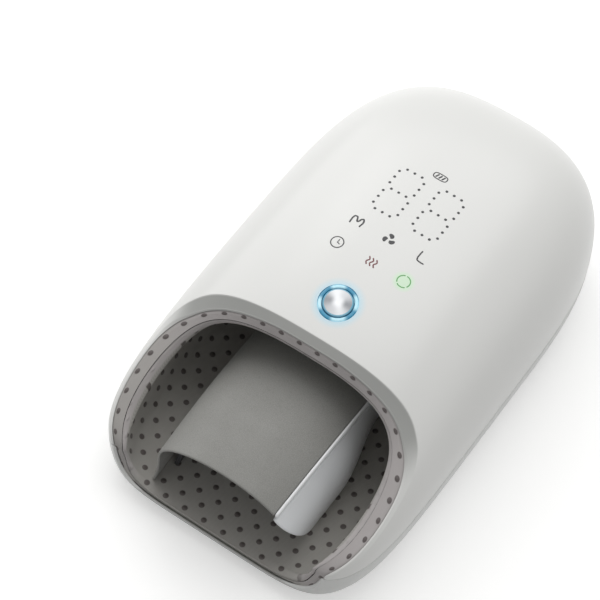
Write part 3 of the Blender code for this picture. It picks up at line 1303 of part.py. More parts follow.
def build_tubes():
    """Supply tube from the pump to the manifold, and one tube from each valve to its bag."""
    nozzle_x = head_face() + GAP + HEAD_LENGTH + NOZZLE_LENGTH + GAP
    manifold_x = MANIFOLD_HALF_LENGTH + NOZZLE_LENGTH + GAP
    manifold_z = carrier_top() + GAP + MANIFOLD_HEIGHT / 2
    outer_x = COLUMN_X + COLUMN_RADIUS + 3 * TUBE_RADIUS
    tube("air_tube_supply", [(nozzle_x, PUMP_Y, pump_height()),
                             (outer_x, PUMP_Y - 3 * TUBE_RADIUS, pump_height() - 3 * TUBE_RADIUS),
                             (outer_x + TUBE_RADIUS, (PUMP_Y + VALVE_Y) / 2,
                              (pump_height() + manifold_z) / 2),
                             (outer_x, VALVE_Y + 2 * TUBE_RADIUS, manifold_z + 3 * TUBE_RADIUS),
                             (manifold_x, VALVE_Y, manifold_z)], (1, 0, 0), (1, 0, 0))
    nozzle_y = VALVE_Y - VALVE_WIDTH / 2 - GAP
    nozzle_z = valve_floor() + TUBE_RISE
    end_y = BAG_BACK_Y + 2 * GAP
    side_angle = math.radians(SIDE_TUBE_ANGLE)
    ends = (("air_tube_left", -1, math.pi - side_angle), ("air_tube_right", 1, side_angle),
            ("air_tube_upper", 0, math.pi / 2))
    for name, side, angle in ends:
        at_frame = bag_middle(angle, FRAME_BACK_Y)
        at_bag = bag_middle(angle, end_y)
        start = np.array((side * VALVE_SPACING, nozzle_y, nozzle_z))
        between = (start + at_frame) / 2
        way = (at_frame - at_bag) / np.linalg.norm(at_frame - at_bag)
        tube(name, [start, between, at_frame + TUBE_RADIUS * way, at_frame, at_bag], (0, -1, 0), way)


def main():
    clear_scene()
    build_top_shell()
    build_base_shell()
    build_housing_screws()
    build_plinth()
    build_plinth_screws()
    build_charge_port()
    build_feet()
    build_bezel()
    build_liner()
    build_rim_foam()
    build_chamber_frame()
    build_floor_foam()
    build_air_bags()
    build_heating_pad()
    build_palm_rest()
    build_rest_bead()
    build_rest_cheek()
    build_button()
    build_switch()
    build_display()
    build_light_mask()
    build_carrier()
    build_battery()
    build_shelf_and_board()
    build_pump()
    build_valves()
    build_tubes()


main()
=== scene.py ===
"""Looks of the air-compression hand massager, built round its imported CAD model. Metres, +Z up.

The mouth faces -Y. Shells, lining, bags and rest are the same body surface as the CAD, worked out more finely.
"""

import math
from collections import namedtuple
from math import pi

import bmesh
import bpy
import numpy as np
from mathutils import Matrix, Vector


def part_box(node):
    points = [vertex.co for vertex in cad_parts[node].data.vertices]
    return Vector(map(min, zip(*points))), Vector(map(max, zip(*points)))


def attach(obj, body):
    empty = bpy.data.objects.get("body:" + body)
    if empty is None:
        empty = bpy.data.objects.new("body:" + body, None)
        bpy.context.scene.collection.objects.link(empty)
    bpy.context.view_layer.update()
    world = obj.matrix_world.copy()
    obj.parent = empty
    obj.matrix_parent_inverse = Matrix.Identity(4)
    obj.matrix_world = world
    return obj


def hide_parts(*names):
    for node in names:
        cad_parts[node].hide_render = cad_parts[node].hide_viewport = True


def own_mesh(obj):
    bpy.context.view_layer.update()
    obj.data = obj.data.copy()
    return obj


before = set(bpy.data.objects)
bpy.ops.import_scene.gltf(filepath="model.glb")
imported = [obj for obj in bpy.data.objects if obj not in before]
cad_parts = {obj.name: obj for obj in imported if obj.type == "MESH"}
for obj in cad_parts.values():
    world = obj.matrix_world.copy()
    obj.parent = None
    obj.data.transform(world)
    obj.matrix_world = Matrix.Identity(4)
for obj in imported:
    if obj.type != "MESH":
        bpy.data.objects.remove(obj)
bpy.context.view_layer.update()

# Body surface, as in the CAD source
BODY_LENGTH, BODY_WIDTH, TOP_HEIGHT = 0.240, 0.140, 0.082
SEAM_HEIGHT, BASE_HEIGHT, WIDEST_Y = 0.025, 0.0055, 0.015
FRONT_REACH, BACK_REACH = BODY_LENGTH / 2 + WIDEST_Y, BODY_LENGTH / 2 - WIDEST_Y
GAP = 0.0003
PLAN_FRONT_SHAPE, PLAN_BACK_SHAPE = 6.5, 3.2
CROWN_FRONT_SHAPE, CROWN_BACK_SHAPE = 2.0, 3.3
SECTION_SHAPE, FLOOR_SHAPE, FRONT_INSET_SHARE = 2.67, 6.0, 0.25
BROW_Y, CORNER_Y = -0.049, -0.115
CHEEK_FOOT, CHEEK_RISE, CHEEK_SHAPE = 0.026, 0.0228, 1.8
LIP_REACH, LOWER_DRAW, LIP_HEIGHT = 0.0035, 0.0042, 0.0088
SHELL_WALL, BASE_WALL, LIP_WALL, STEP_WIDTH = 0.0024, 0.0020, 0.0016, 0.0003
THIN_FRONT, THIN_FROM, THIN_TO = 0.45, 0.080, 0.108
BASE_ROUND_HEIGHT, BASE_ROUND_WIDTH, WALL_ROUND = 0.016, 0.009, 0.0005
BOSS_RADIUS, BOSS_BORE, BOSS_BREAK, HEAD_BORE, HEAD_DEPTH = 0.0042, 0.0018, 0.0004, 0.0030, 0.0095
HOUSING_SCREW_PLACES = ((0.053, 0.050), (-0.053, 0.050), (0.040, 0.099), (-0.040, 0.099))

# Mouth: the shell's edge, the trim and the layers of the hand chamber
SHELL_ROWS, SHELL_COLUMNS, SEAM_EASE = 150, 221, 0.00018
EDGE_RADIUS, CHAMFER_WIDTH, CHAMFER_SPREAD, CHAMFER_ROWS = 0.0003, 0.0030, 0.0032, 9
SIDE_LINE, TOP_LINE, SHOULDER_LINE, SIDE_DROP = 0.0012, 0.0029, 0.0008, 0.0006
OVER_TOP, FROM_SEAM, SHOULDER_TURN, SHOULDER_SPREAD = (0.42, 0.68), (0.05, 0.3), 0.55, 0.16
TRIM_SEAT, FINE_LINE, RIM_OVERLAP = 0.00315, 0.0003, 0.0005
BEZEL_INSET, BEZEL_SIDE, BEZEL_BROW, BEZEL_LIP, BEZEL_DEPTH = 0.0028, 0.0016, 0.0036, 0.0007, 0.0030
ROLL_DEPTH, TAPER, FLOOR_BASE = 0.0095, 0.077, BASE_HEIGHT + BASE_WALL
LINER_THICKNESS, LINER_BACK_Y, BAG_BACK_Y, FRAME_SETBACK = 0.0008, 0.033, 0.024, 0.0100
LIP_ROUND, LIP_EASE, PUFF, PUFF_PITCH, SHEET_LENGTH = 0.0001, 0.0002, 0.00045, 0.034, 0.06
# Painted light: a pale band on the lining's lit roll behind the mouth
PAINTED_LIGHT_DEPTH, PAINTED_LIGHT_LOSS, PAINTED_LIGHT_BLUR, PAINTED_LIGHT_FROM, PAINTED_LIGHT_THINNER = 0.15, 0.07, 0.10, (0.0125, 0.0165), (0.060, 0.072)
# Painted light on the trim above a height, and painted shade on its low left part
TRIM_PAINTED_LIGHT_FROM, TRIM_PAINTED_SHADE, PAINTED_SHADE_LEFT, PAINTED_SHADE_BELOW = (0.0100, 0.0150), 0.6, (0.030, 0.055), (0.045, 0.062)
FIRST_BAG_ROW, FOAM_STEPS, SLEEVE_FOAM, SLEEVE_ROUND = 0.08, 4, 0.0009, 0.3
YARN_PITCH, RIM_DOT_PITCH, RIM_DOT_PLACE = 0.0007, 0.0090, 0.0047
DOT_PITCH, DOT_START, DOT_RADIUS = (0.0100, 0.0106), (-0.0012, -0.1104), 0.00145

# Palm rest
REST_FRONT_Y, REST_BACK_Y, REST_CENTRE_X, REST_HALF_WIDTH = -0.113, 0.031, 0.0010, 0.0335
REST_SHOULDER, REST_CROWN, REST_DROP, SHOULDER_DROP_SHARE = 0.0345, 0.0535, 0.0130, 0.7
REST_FOOT_FLARE, RIDGE_ANGLE, REST_EDGE_SETBACK, REST_SWELL = 0.0030, 0.69, 0.0120, 0.0030
REST_COVER, REST_PAD, FOAM_SETBACK = 0.0012, 0.0020, 0.0180
BEAD_RADIUS, CHEEK_WALL, CHEEK_FOOT_X, CHEEK_BULGE, CHEEK_SLANT = 0.0013, 0.0020, 0.0335, 0.0045, 0.021
BEAD_REACH, BEAD_FLATNESS, CHEEK_DEPTH, CHEEK_LENGTH = 0.75, 0.62, 0.036, 0.144
CHEEK_NARROWING, NARROW_FROM, NARROW_TO = 0.0075, 0.040, 0.085

# Button and the marks on the display
BUTTON_Y, CAP_RADIUS, CAP_DOME, RING_RADIUS, RING_PROUD = -0.030, 0.0066, 0.0009, 0.0085, 0.0002
RUNNING_GAP, RING_FLANGE_RADIUS, RING_FLANGE_HEIGHT, RING_ROUND = 0.0004, 0.0100, 0.0007, 0.0004
CAP_FLANGE_RADIUS, CAP_FLANGE_HEIGHT, STEM_RADIUS, STEM_FOOT = 0.0078, 0.0006, 0.0012, 0.00422
CAP_TOP, CAP_DISH, CAP_EDGE_FOOT = 0.93, 0.00012, -0.0006
MARK_RISE, MARK_ROOT = 0.00005, 0.0003
DIGIT_SPREAD, DIGIT_MIDDLE, DIGIT_SIZE, DIGIT_DOT = 0.0101, (0.0004, 0.0309), (0.0125, 0.0258), 0.00066
ROW_DOTS, COLUMN_DOTS = (-0.00375, 0, 0.00375), (-0.00385, 0, 0.00385)
SIGN_CLOCK, SIGN_FAN, SIGN_CHARGE = (-0.0169, -0.0057), (0.0005, 0.0079), (0.00035, 0.0488)
SIGN_CYCLE, WAVES_Y, WAVES_X = (0.0169, -0.0060), -0.0060, (-0.0011, 0.0007, 0.0025)
KEY_M = ((-0.0184, 0.0060), (-0.0185, 0.0088), (-0.0181, 0.0100), (-0.0171, 0.0101), (-0.0163, 0.0088),
         (-0.0158, 0.0078), (-0.0152, 0.0084), (-0.0147, 0.0098), (-0.0139, 0.0102), (-0.0133, 0.0092),
         (-0.0135, 0.0061))
KEY_L = ((0.0153, 0.0111), (0.0152, 0.0090), (0.0153, 0.0070), (0.0157, 0.0062), (0.0166, 0.0060), (0.0188, 0.0060))

# Feet and valve springs
FOOT_RADIUS, FOOT_ROUND, TREAD_RINGS = 0.007, 0.0006, (0.0020, 0.0034, 0.0048)
FOOT_PLACES = ((0.048, -0.064, 0.0012), (-0.048, -0.064, 0.0012), (0.036, 0.086, 0.0055), (-0.036, 0.086, 0.0055))
SPRING_WIRE, SPRING_TURNS, VALVE_TRAVEL = 0.0003, 3.5, 0.0010

Layer = namedtuple("Layer", "side top floor taper")
BAG_OUTER = Layer(0.0057, 0.0091867, 0.0089, TAPER)
BAG_INNER = Layer(0.0081, 0.0115867, 0.0097, TAPER)
PAD_OUTER = Layer(0.0084, 0.0118867, 0.0097, TAPER)
PAD_INNER = Layer(0.0089, 0.0123867, 0.0097, TAPER)
LINER_OUTER = Layer(0.0092, 0.0126867, 0.0100, TAPER)
LINER_INNER = Layer(0.0100, 0.0134867, 0.0108, TAPER)
RIM_OUTER = Layer(0.0047, 0.0067, 0.0101, 0)
RIM_INNER = Layer(0.0055, 0.0075, 0.0109, 0)


def superpower(value, exponent):
    return np.sign(value) * np.abs(value) ** exponent


def share_of(value, low, high):
    """0 up to low, 1 from high on and evenly between them."""
    return np.clip((value - low) / (high - low), 0, 1)


def smooth_step(value, low, high):
    share = share_of(value, low, high)
    return share ** 2 * (3 - 2 * share)


def rounded_share(share, shape):
    """Height of a unit superellipse at a share of its reach: (1 - share^n)^(1/n)."""
    return (1 - np.clip(share, 0, 1) ** shape) ** (1 / shape)


def half_width(y, inset):
    """Half the plan's width at y: a superellipse ahead of the widest place and another behind it, less an inset."""
    behind = rounded_share((y - WIDEST_Y) / (BACK_REACH - inset), PLAN_BACK_SHAPE)
    ahead = rounded_share((WIDEST_Y - y) / (FRONT_REACH - FRONT_INSET_SHARE * inset), PLAN_FRONT_SHAPE)
    return (BODY_WIDTH / 2 - inset) * np.where(y > WIDEST_Y, behind, ahead)


def crown(y, inset):
    """Height of the middle line at y: two superellipse quarters over the seam, lowered by an inset."""
    behind = rounded_share((y - WIDEST_Y) / (BACK_REACH - inset), CROWN_BACK_SHAPE)
    ahead = rounded_share((WIDEST_Y - y) / FRONT_REACH, CROWN_FRONT_SHAPE)
    rise = TOP_HEIGHT - SEAM_HEIGHT
    return SEAM_HEIGHT + np.where(y > WIDEST_Y, (rise - inset) * behind, np.maximum(rise * ahead - inset, 0))


def layer_point(angle, y, layer):
    """Point of a layer: a superellipse section round the chamber, squarer under the seam than above it."""
    drawn = layer.taper * np.maximum(y - BROW_Y, 0)
    above = np.sin(angle) >= 0
    below_draw = np.where(above, 0, LOWER_DRAW * np.abs(np.sin(angle)) ** (2 / FLOOR_SHAPE))
    width = half_width(np.maximum(y, CORNER_Y), layer.side + drawn) - below_draw
    shape = np.where(above, SECTION_SHAPE, FLOOR_SHAPE)
    reach = np.where(above, crown(y, layer.top + drawn) - SEAM_HEIGHT, SEAM_HEIGHT - layer.floor)
    x = width * superpower(np.cos(angle), 2 / shape)
    z = SEAM_HEIGHT + reach * superpower(np.sin(angle), 2 / shape)
    return np.stack(np.broadcast_arrays(x, y, z), -1)


def mouth_y(height):
    """How far forward the mouth's side reaches at a height: a bell curve down from the brow."""
    bell = np.exp(-(np.maximum(height - CHEEK_FOOT, 0) / CHEEK_RISE) ** CHEEK_SHAPE)
    return BROW_Y - (BROW_Y - CORNER_Y) * bell


def rim_y(angle, layer):
    """Where a layer meets the mouth's bell curve, found by halving; under the seam the lip's own curve."""
    low, high = np.full(np.shape(angle), CORNER_Y - LIP_REACH), np.full(np.shape(angle), WIDEST_Y)
    for _ in range(40):
        middle = (low + high) / 2
        before = middle < mouth_y(layer_point(angle, middle, layer)[..., 2])
        low, high = np.where(before, middle, low), np.where(before, high, middle)
    return np.where(np.sin(angle) >= 0, high, CORNER_Y - LIP_REACH * np.abs(np.sin(angle)))


def surface_height(x, y, inset=0.0):
    share = np.abs(x) / half_width(y, inset)
    return SEAM_HEIGHT + (crown(y, inset) - SEAM_HEIGHT) * rounded_share(share, SECTION_SHAPE)


def level_layer(inset):
    return Layer(inset, inset, BASE_HEIGHT, 0)


def mix_layers(first, second, share):
    return Layer(*(a + (b - a) * share for a, b in zip(first, second)))


def rolled_layer(rim_layer, deep_layer, depth):
    """The lining's layer at a depth behind the rim: it rolls inward along a quarter circle."""
    share = share_of(depth, 0, ROLL_DEPTH)
    return mix_layers(rim_layer, deep_layer, np.sqrt(1 - (1 - share) ** 2))


def way_along(points):
    """Distance covered up to each point of a line, or of each column of a grid."""
    steps = np.linalg.norm(np.diff(points, axis=0), axis=-1)
    return np.concatenate([0 * steps[:1], np.cumsum(steps, axis=0)])


def evenly(points, values, count):
    """Values at places evenly apart along a line of points, and the line's length."""
    way = way_along(points)
    return np.interp(np.linspace(0, way[-1], count), way, values), way[-1]


def even_angles(start, end, count, y=-0.02, layer=LINER_INNER):
    """Angles whose points on a layer are evenly far apart, and the way from the first to the last."""
    fine = np.linspace(start, end, 4001)
    return evenly(layer_point(fine, y, layer), fine, count)


def sheet_part(grid, closed=True):
    """Points of a grid, and the corners of the four-sided faces between neighbouring points."""
    rows, columns, _ = grid.shape
    row = np.arange(rows - 1)[:, None] * columns
    column = np.arange(columns if closed else columns - 1)
    beside = (column + 1) % columns
    corners = [row + column, row + beside, row + columns + beside, row + columns + column]
    return grid.reshape(-1, 3), np.stack(corners, -1).reshape(-1, 4)


def placed(name, data):
    """A new object at the origin, in the scene."""
    made = bpy.data.objects.new(name, data)
    bpy.context.scene.collection.objects.link(made)
    return made


def solid(name, parts, uv=None, marks=None):
    """An object from sets of points and faces, with doubled points merged and faces pointing out.

    uv is a pair in metres for each point, and marks are named values for each point.
    """
    starts = np.cumsum([0] + [len(points) for points, _ in parts])
    points = np.concatenate([points for points, _ in parts])
    quads = np.concatenate([quads + start for (_, quads), start in zip(parts, starts)])
    mesh = bpy.data.meshes.new(name)
    mesh.from_pydata(points.tolist(), [], quads.tolist())
    if uv is not None:
        corners = uv.reshape(-1, 2)[quads.ravel()]
        mesh.uv_layers.new(name="cloth").data.foreach_set("uv", corners.astype(np.float32).ravel())
    for mark, values in (marks or {}).items():
        attribute = mesh.attributes.new(mark, "FLOAT", "POINT")
        attribute.data.foreach_set("value", np.ravel(values).astype(np.float32))
    work = bmesh.new()
    work.from_mesh(mesh)
    bmesh.ops.remove_doubles(work, verts=work.verts, dist=2e-6)
    bmesh.ops.dissolve_degenerate(work, edges=work.edges, dist=1e-6)
    bmesh.ops.recalc_face_normals(work, faces=work.faces)
    work.to_mesh(mesh)
    work.free()
    return placed(name, mesh)


def smooth(mesh, sharp):
    mesh.shade_smooth()
    mesh.set_sharp_from_angle(angle=math.radians(sharp))


def dress(made, finish, body, stands_for):
    """Gives a piece its finish and a body to ride on, and hides the CAD nodes that it stands for."""
    material, slot = FINISHES[finish]
    made.data.materials.clear()
    made.data.materials.append(material)
    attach(made, body)
    if stands_for:
        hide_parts(*stands_for)


def piece(name, parts, finish, *stands_for, body="housing", sharp=40, fill=None, **marked):
    """A finished solid; fill is not used."""
    made = solid(name, parts, **marked)
    smooth(made.data, sharp)
    dress(made, finish, body, stands_for)
    return made


def bake(target, sharp=40):
    """Applies a piece's modifiers to its mesh."""
    graph = bpy.context.evaluated_depsgraph_get()
    mesh = bpy.data.meshes.new_from_object(target.evaluated_get(graph), depsgraph=graph)
    target.modifiers.clear()
    target.data = mesh
    smooth(mesh, sharp)


def bore(target, radius, low, high, segments, centre, tilt=0.0, sharp=40):
    """Cuts a round hole between two heights on its axis out of a piece."""
    tool = solid("bore", [lathe(((0, low), (radius, low), (radius, high), (0, high)), segments, centre, tilt)])
    step = target.modifiers.new("bore", "BOOLEAN")
    step.operation, step.solver, step.object = "DIFFERENCE", "EXACT", tool
    bake(target, sharp)
    bpy.data.objects.remove(tool)


def even_swell(across, along):
    """The swell of a sheet that is as thick everywhere."""
    return 1.0


def rounded_wall(surface, wide, long, wall, columns, rows):
    """A wall with half-round edges: outer face, round edge, back face, round edge, drawn to a curve at both ends.

    surface(u, v, depth) gives a point; u and v run in metres over the sheet and depth from 0 outside to 1 inside.
    """
    edge = wall / 2
    turn, rise = np.linspace(0, pi, 7)[1:-1], np.linspace(0, pi / 2, 5)
    across = np.linspace(edge, wide - edge, columns)
    u = np.concatenate([across, wide - edge + edge * np.sin(turn), across[::-1], edge - edge * np.sin(turn)])
    depth = np.concatenate([0 * across, (1 - np.cos(turn)) / 2, 1 + 0 * across, (1 + np.cos(turn)) / 2])
    v = np.concatenate([edge * (1 - np.cos(rise)), np.linspace(edge, long - edge, rows)[1:-1],
                        long - edge * (1 - np.cos(rise[::-1]))])[:, None]
    swell = np.concatenate([np.sin(rise), np.ones(rows - 2), np.sin(rise[::-1])])[:, None]
    return sheet_part(surface(*np.broadcast_arrays(u, v), 0.5 + (depth - 0.5) * swell))


def lathe(profile, segments, centre=(0, 0, 0), tilt=0.0):
    """A profile of (radius, height) turned round an upright axis, then leant about X by a tilt."""
    profile = np.asarray(profile, float)
    angle = np.linspace(0, 2 * pi, segments, endpoint=False)
    x, along = profile[:, :1] * np.cos(angle), profile[:, :1] * np.sin(angle)
    height = profile[:, 1:] + 0 * angle
    y = along * math.cos(tilt) - height * math.sin(tilt)
    z = along * math.sin(tilt) + height * math.cos(tilt)
    return sheet_part(np.stack([x, y, z], -1) + np.asarray(centre))


# Shader maths


class Link:
    """The output of a node; arithmetic on it adds Math nodes to the same finish."""

    def __init__(self, finish, socket):
        self.finish, self.socket = finish, socket

    def math(self, operation, *others):
        return self.finish.math(operation, self, *others)

    def ramp(self, low, high, start=0.0, end=1.0, kind="SMOOTHSTEP"):
        """The value carried from low..high to start..end and held beyond them."""
        return self.finish.node("ShaderNodeMapRange", {"interpolation_type": kind},
                                {0: self, 1: low, 2: high, 3: start, 4: end})


for word, operation in (("add", "ADD"), ("sub", "SUBTRACT"), ("mul", "MULTIPLY"), ("truediv", "DIVIDE")):
    setattr(Link, f"__{word}__", lambda link, other, kind=operation: link.math(kind, other))
    setattr(Link, f"__r{word}__", lambda link, other, kind=operation: link.finish.math(kind, other, link))


class Finish:
    """One finish of the massager: its nodes, and a shader with even values on its own sockets."""

    def __init__(self, name, owners="materials", shader="Principled BSDF", **even):
        self.owner = getattr(bpy.data, owners).new(name)
        self.owner.use_nodes = True
        self.tree = self.owner.node_tree
        self.shader = self.tree.nodes[shader]
        self.put(**even)

    def node(self, kind, settings={}, inputs={}, output=0):
        """Adds a node: its settings first, then the values or links of its sockets."""
        made = self.tree.nodes.new(kind)
        for key, value in settings.items():
            setattr(made, key, value)
        for key, value in inputs.items():
            self.feed(made.inputs[key], value)
        return Link(self, made.outputs[output])

    def feed(self, socket, value):
        if isinstance(value, Link):
            self.tree.links.new(value.socket, socket)
        else:
            socket.default_value = value

    def put(self, **sockets):
        """Feeds sockets of the shader, and gives the material."""
        for name, value in sockets.items():
            self.feed(self.shader.inputs[name.replace("_", " ")], value)
        return self.owner

    def coat(self, colour, rough, height, depth, **more):
        """Feeds the shader a colour, a roughness and the bump of a height, and gives the material."""
        bump = self.node("ShaderNodeBump", {}, {"Height": height, "Distance": depth})
        return self.put(Base_Color=colour, Roughness=rough, Normal=bump, **more)

    def math(self, operation, *values):
        return self.node("ShaderNodeMath", {"operation": operation}, dict(enumerate(values)))

    def axes(self, vector=None):
        """X, Y and Z of the place on the piece, or of another vector."""
        split = self.node("ShaderNodeSeparateXYZ", {}, {0: vector or self.place()})
        return [Link(self, output) for output in split.socket.node.outputs]

    def place(self):
        return self.node("ShaderNodeTexCoord", output=3)

    def noise(self, scale, detail=2.0, rough=0.5, stretch=(1, 1, 1)):
        vector = self.node("ShaderNodeMapping", {}, {0: self.place(), "Scale": stretch})
        return self.node("ShaderNodeTexNoise", {}, {"Vector": vector, "Scale": scale, "Detail": detail,
                                                    "Roughness": rough})

    def cells(self, scale, feature="F1", **more):
        return self.node("ShaderNodeTexVoronoi", {"feature": feature},
                         {"Vector": self.place(), "Scale": scale, **more})

    def mark(self, name):
        return self.node("ShaderNodeAttribute", {"attribute_name": name}, output=2)


def tint(share, first, second):
    """Mix of two colours, of which one at least, or the share, is a link."""
    link = next(value for value in (share, first, second) if isinstance(value, Link))
    first, second = (colour if isinstance(colour, Link) else (*colour, 1) for colour in (first, second))
    return link.finish.node("ShaderNodeMix", {"data_type": "RGBA"}, {0: share, 6: first, 7: second}, 2)


def reach_of(x, y):
    """How far a place is from the middle: the root of its squares."""
    return (x * x + y * y).math("SQRT")


def faded(colour, part):
    return tuple(channel * part for channel in colour)


# Finishes


def moulded(name, colour, roughness, grain=0.00002, grain_scale=900, fade=0.93, lip=None, **even):
    """Moulded plastic: a faint cloudiness of colour, uneven gloss and a fine skin from the mould.

    lip is the colour of the front lip, between the corners of the mouth.
    """
    finish = Finish(name, **even)
    shade = tint(finish.noise(38, 3), faded(colour, fade), colour)
    if lip:
        x, y, z = finish.axes()
        in_front = y.ramp(-0.1150, -0.1145, 1, 0) * x.math("ABSOLUTE").ramp(0.0565, 0.0571, 1, 0)
        shade = tint(in_front * z.ramp(0.0091, 0.0095, 1, 0), shade, lip)
    gloss = finish.noise(140, 4, stretch=(1, 0.6, 1)).ramp(0.3, 0.7, roughness * 0.92, roughness * 1.12)
    return finish.coat(shade, gloss, finish.noise(grain_scale), grain)


def brushed(name, colour, roughness, grain=0.00002, along=(900, 60, 900)):
    """Metal with fine lines of the tool along one axis."""
    finish = Finish(name, Metallic=1.0)
    lines = finish.noise(1.0, 3, stretch=along)
    dull = finish.noise(160).ramp(0.3, 0.7, roughness * 0.8, roughness * 1.3)
    return finish.coat(tint(lines, faded(colour, 0.8), colour), dull, lines, grain)


def shell_gloss():
    """White gloss of the top shell, with painted shade on the mouth's chamfer and the ring's and lit sign's light
    painted on it.
    """
    finish = Finish("gloss_white_shell", Coat_Weight=0.15, Coat_Roughness=0.28, Coat_IOR=1.45)
    x, y, _ = finish.axes()
    colour = tint(finish.noise(22, 3), (0.738, 0.740, 0.722), (0.758, 0.759, 0.741))
    # painted shade: the forward-facing chamfer over the top of the mouth is greyed
    colour = tint(finish.mark("mouth_painted_shade"), colour, (0.40, 0.405, 0.390))
    ring_light = reach_of(x, y - BUTTON_Y).ramp(RING_RADIUS - 0.0005, RING_RADIUS + 0.0042, 0.62, 0)
    colour = tint(ring_light, colour, (0.42, 0.74, 0.90))
    sign_light = reach_of(x - SIGN_CYCLE[0], y - SIGN_CYCLE[1]).ramp(0.0030, 0.0056, 0.75, 0)
    colour = tint(sign_light, colour, (0.60, 0.84, 0.58))
    return finish.coat(colour, finish.noise(9).ramp(0, 1, 0.26, 0.32), finish.noise(900), 0.000004)


def lining_fabric(name, rim):
    """Knitted lining: crossing yarns in cloth metres, rows of dark soft dots and a pale band of painted light on
    the lit edge.
    """
    finish = Finish(name, Sheen_Weight=0.25, Sheen_Roughness=0.5, Sheen_Tint=(0.6, 0.58, 0.56, 1))
    u, v, _ = finish.axes(finish.node("ShaderNodeUVMap", {"uv_map": "cloth"}))
    yarn = 2 * pi / YARN_PITCH
    knit = (u * yarn).math("SINE") * (v * yarn).math("SINE")

    def dots(shift):
        """Distance from the nearest dot of a grid that is shifted by a share of its pitch."""
        return reach_of(*((((way - start) / pitch + shift).math("FRACT") - 0.5) * pitch
                          for way, start, pitch in zip((u, v), DOT_START, DOT_PITCH)))
    if rim:
        nearest = reach_of(((u / RIM_DOT_PITCH).math("FRACT") - 0.5) * RIM_DOT_PITCH, v - RIM_DOT_PLACE)
    else:
        nearest = dots(0.5).math("MINIMUM", dots(0.0))
    dot = nearest.ramp(DOT_RADIUS * 0.72, DOT_RADIUS * 1.1, 1, 0)
    dome = nearest.ramp(0, DOT_RADIUS * 1.15, 1, 0)
    # painted light: the marked band is paler where the rolled edge is lit, and the dots fade out in it
    band, cloud = finish.mark("painted_light_band"), finish.noise(45, 4)
    ground = tint(cloud, (0.385, 0.373, 0.348), (0.455, 0.441, 0.412))
    ground = tint(knit.ramp(-1, 1), tint(0.25, ground, (0.04, 0.04, 0.04)), ground)
    # colour of the painted light on the lit edge
    edge = tint(cloud, (0.42, 0.395, 0.39), (0.52, 0.490, 0.485))
    if not rim:
        dot = dot * (1.0 - band)
    colour = tint(dot * 0.88, tint(band, ground, edge), (0.050, 0.036, 0.034))
    return finish.coat(colour, dot.ramp(0, 1, 0.88, 0.55), knit * 0.10 + dome * 0.9, 0.0004)


def rest_skin():
    """Smooth soft skin of the palm rest: fine pores, faint creases darkened by painted shade, and uneven dullness.
    """
    finish = Finish("rest_skin", Specular_IOR_Level=0.45, Sheen_Weight=0.10)
    crease = finish.cells(1300, "DISTANCE_TO_EDGE").ramp(0, 0.18)
    colour = tint(finish.noise(30, 4), (0.232, 0.230, 0.216), (0.266, 0.264, 0.248))
    # painted shade in the faint creases
    colour = tint(crease, tint(0.18, colour, (0.05, 0.05, 0.05)), colour)
    return finish.coat(colour, finish.noise(90, 3).ramp(0.3, 0.7, 0.46, 0.60), crease, 0.00003)


def foam_stuff(name, colour):
    """Open foam: cells of two sizes pit the surface, and painted shade darkens the pits."""
    finish = Finish(name)
    depth = finish.cells(900) * 0.7 + finish.cells(2300) * 0.3
    # painted shade: darker in the pits
    return finish.coat(tint(depth.ramp(0.1, 0.6), faded(colour, 0.45), colour), 0.95, depth, 0.0003)


def bag_film():
    """Coated film of the air bags: soft wrinkles and a fine woven backing."""
    finish = Finish("bag_film", Coat_Roughness=0.2)
    x, y, z = finish.axes()
    weave = ((x + z) * 9000).math("SINE") * (y * 9000).math("SINE")
    wrinkle = finish.noise(95, 5, 0.6, stretch=(1, 0.5, 1))
    colour = tint(wrinkle, (0.42, 0.43, 0.45), (0.60, 0.61, 0.63))
    return finish.coat(colour, wrinkle.ramp(0.3, 0.7, 0.36, 0.52), wrinkle + weave * 0.04, 0.0005)


def heater_film():
    """Amber heating film with a copper track that runs to and fro along it."""
    finish = Finish("heater_film", Coat_Roughness=0.1)
    x, y, _ = finish.axes()
    sway = (y * 520).math("SINE") * 0.0012
    line = ((x + sway) * 620).math("SINE").math("ABSOLUTE").ramp(0.80, 0.93)
    cloud = finish.noise(80, 3)
    film = tint(cloud, (0.42, 0.17, 0.03), (0.55, 0.25, 0.06))
    return finish.coat(tint(line, film, (0.80, 0.42, 0.22)), cloud.ramp(0.3, 0.7, 0.35, 0.50), line, 0.00006,
                       Metallic=line * 0.9)


def board_face():
    """Solder mask with fine tracks under it and round pads."""
    finish = Finish("circuit_board", Coat_Weight=0.2)
    x, _, _ = finish.axes()
    tracks = ((x + finish.noise(55, 0) * 0.012) * 1900).math("SINE").math("ABSOLUTE").ramp(0.86, 0.95)
    pad = finish.cells(190, Randomness=0.75).ramp(0.16, 0.20, 1, 0)
    green = tint(finish.noise(60), (0.010, 0.090, 0.035), (0.016, 0.130, 0.050))
    green = tint(tracks, green, (0.03, 0.20, 0.08))
    return finish.coat(tint(pad, green, (0.72, 0.70, 0.66)), pad.ramp(0, 1, 0.38, 0.28), tracks + pad, 0.00004,
                       Metallic=pad)


def round_button(finish):
    """How far a place is from the button's middle, and its angle round it."""
    x, y, _ = finish.axes()
    along = y - BUTTON_Y
    return reach_of(x, along), along.math("ARCTAN2", x)


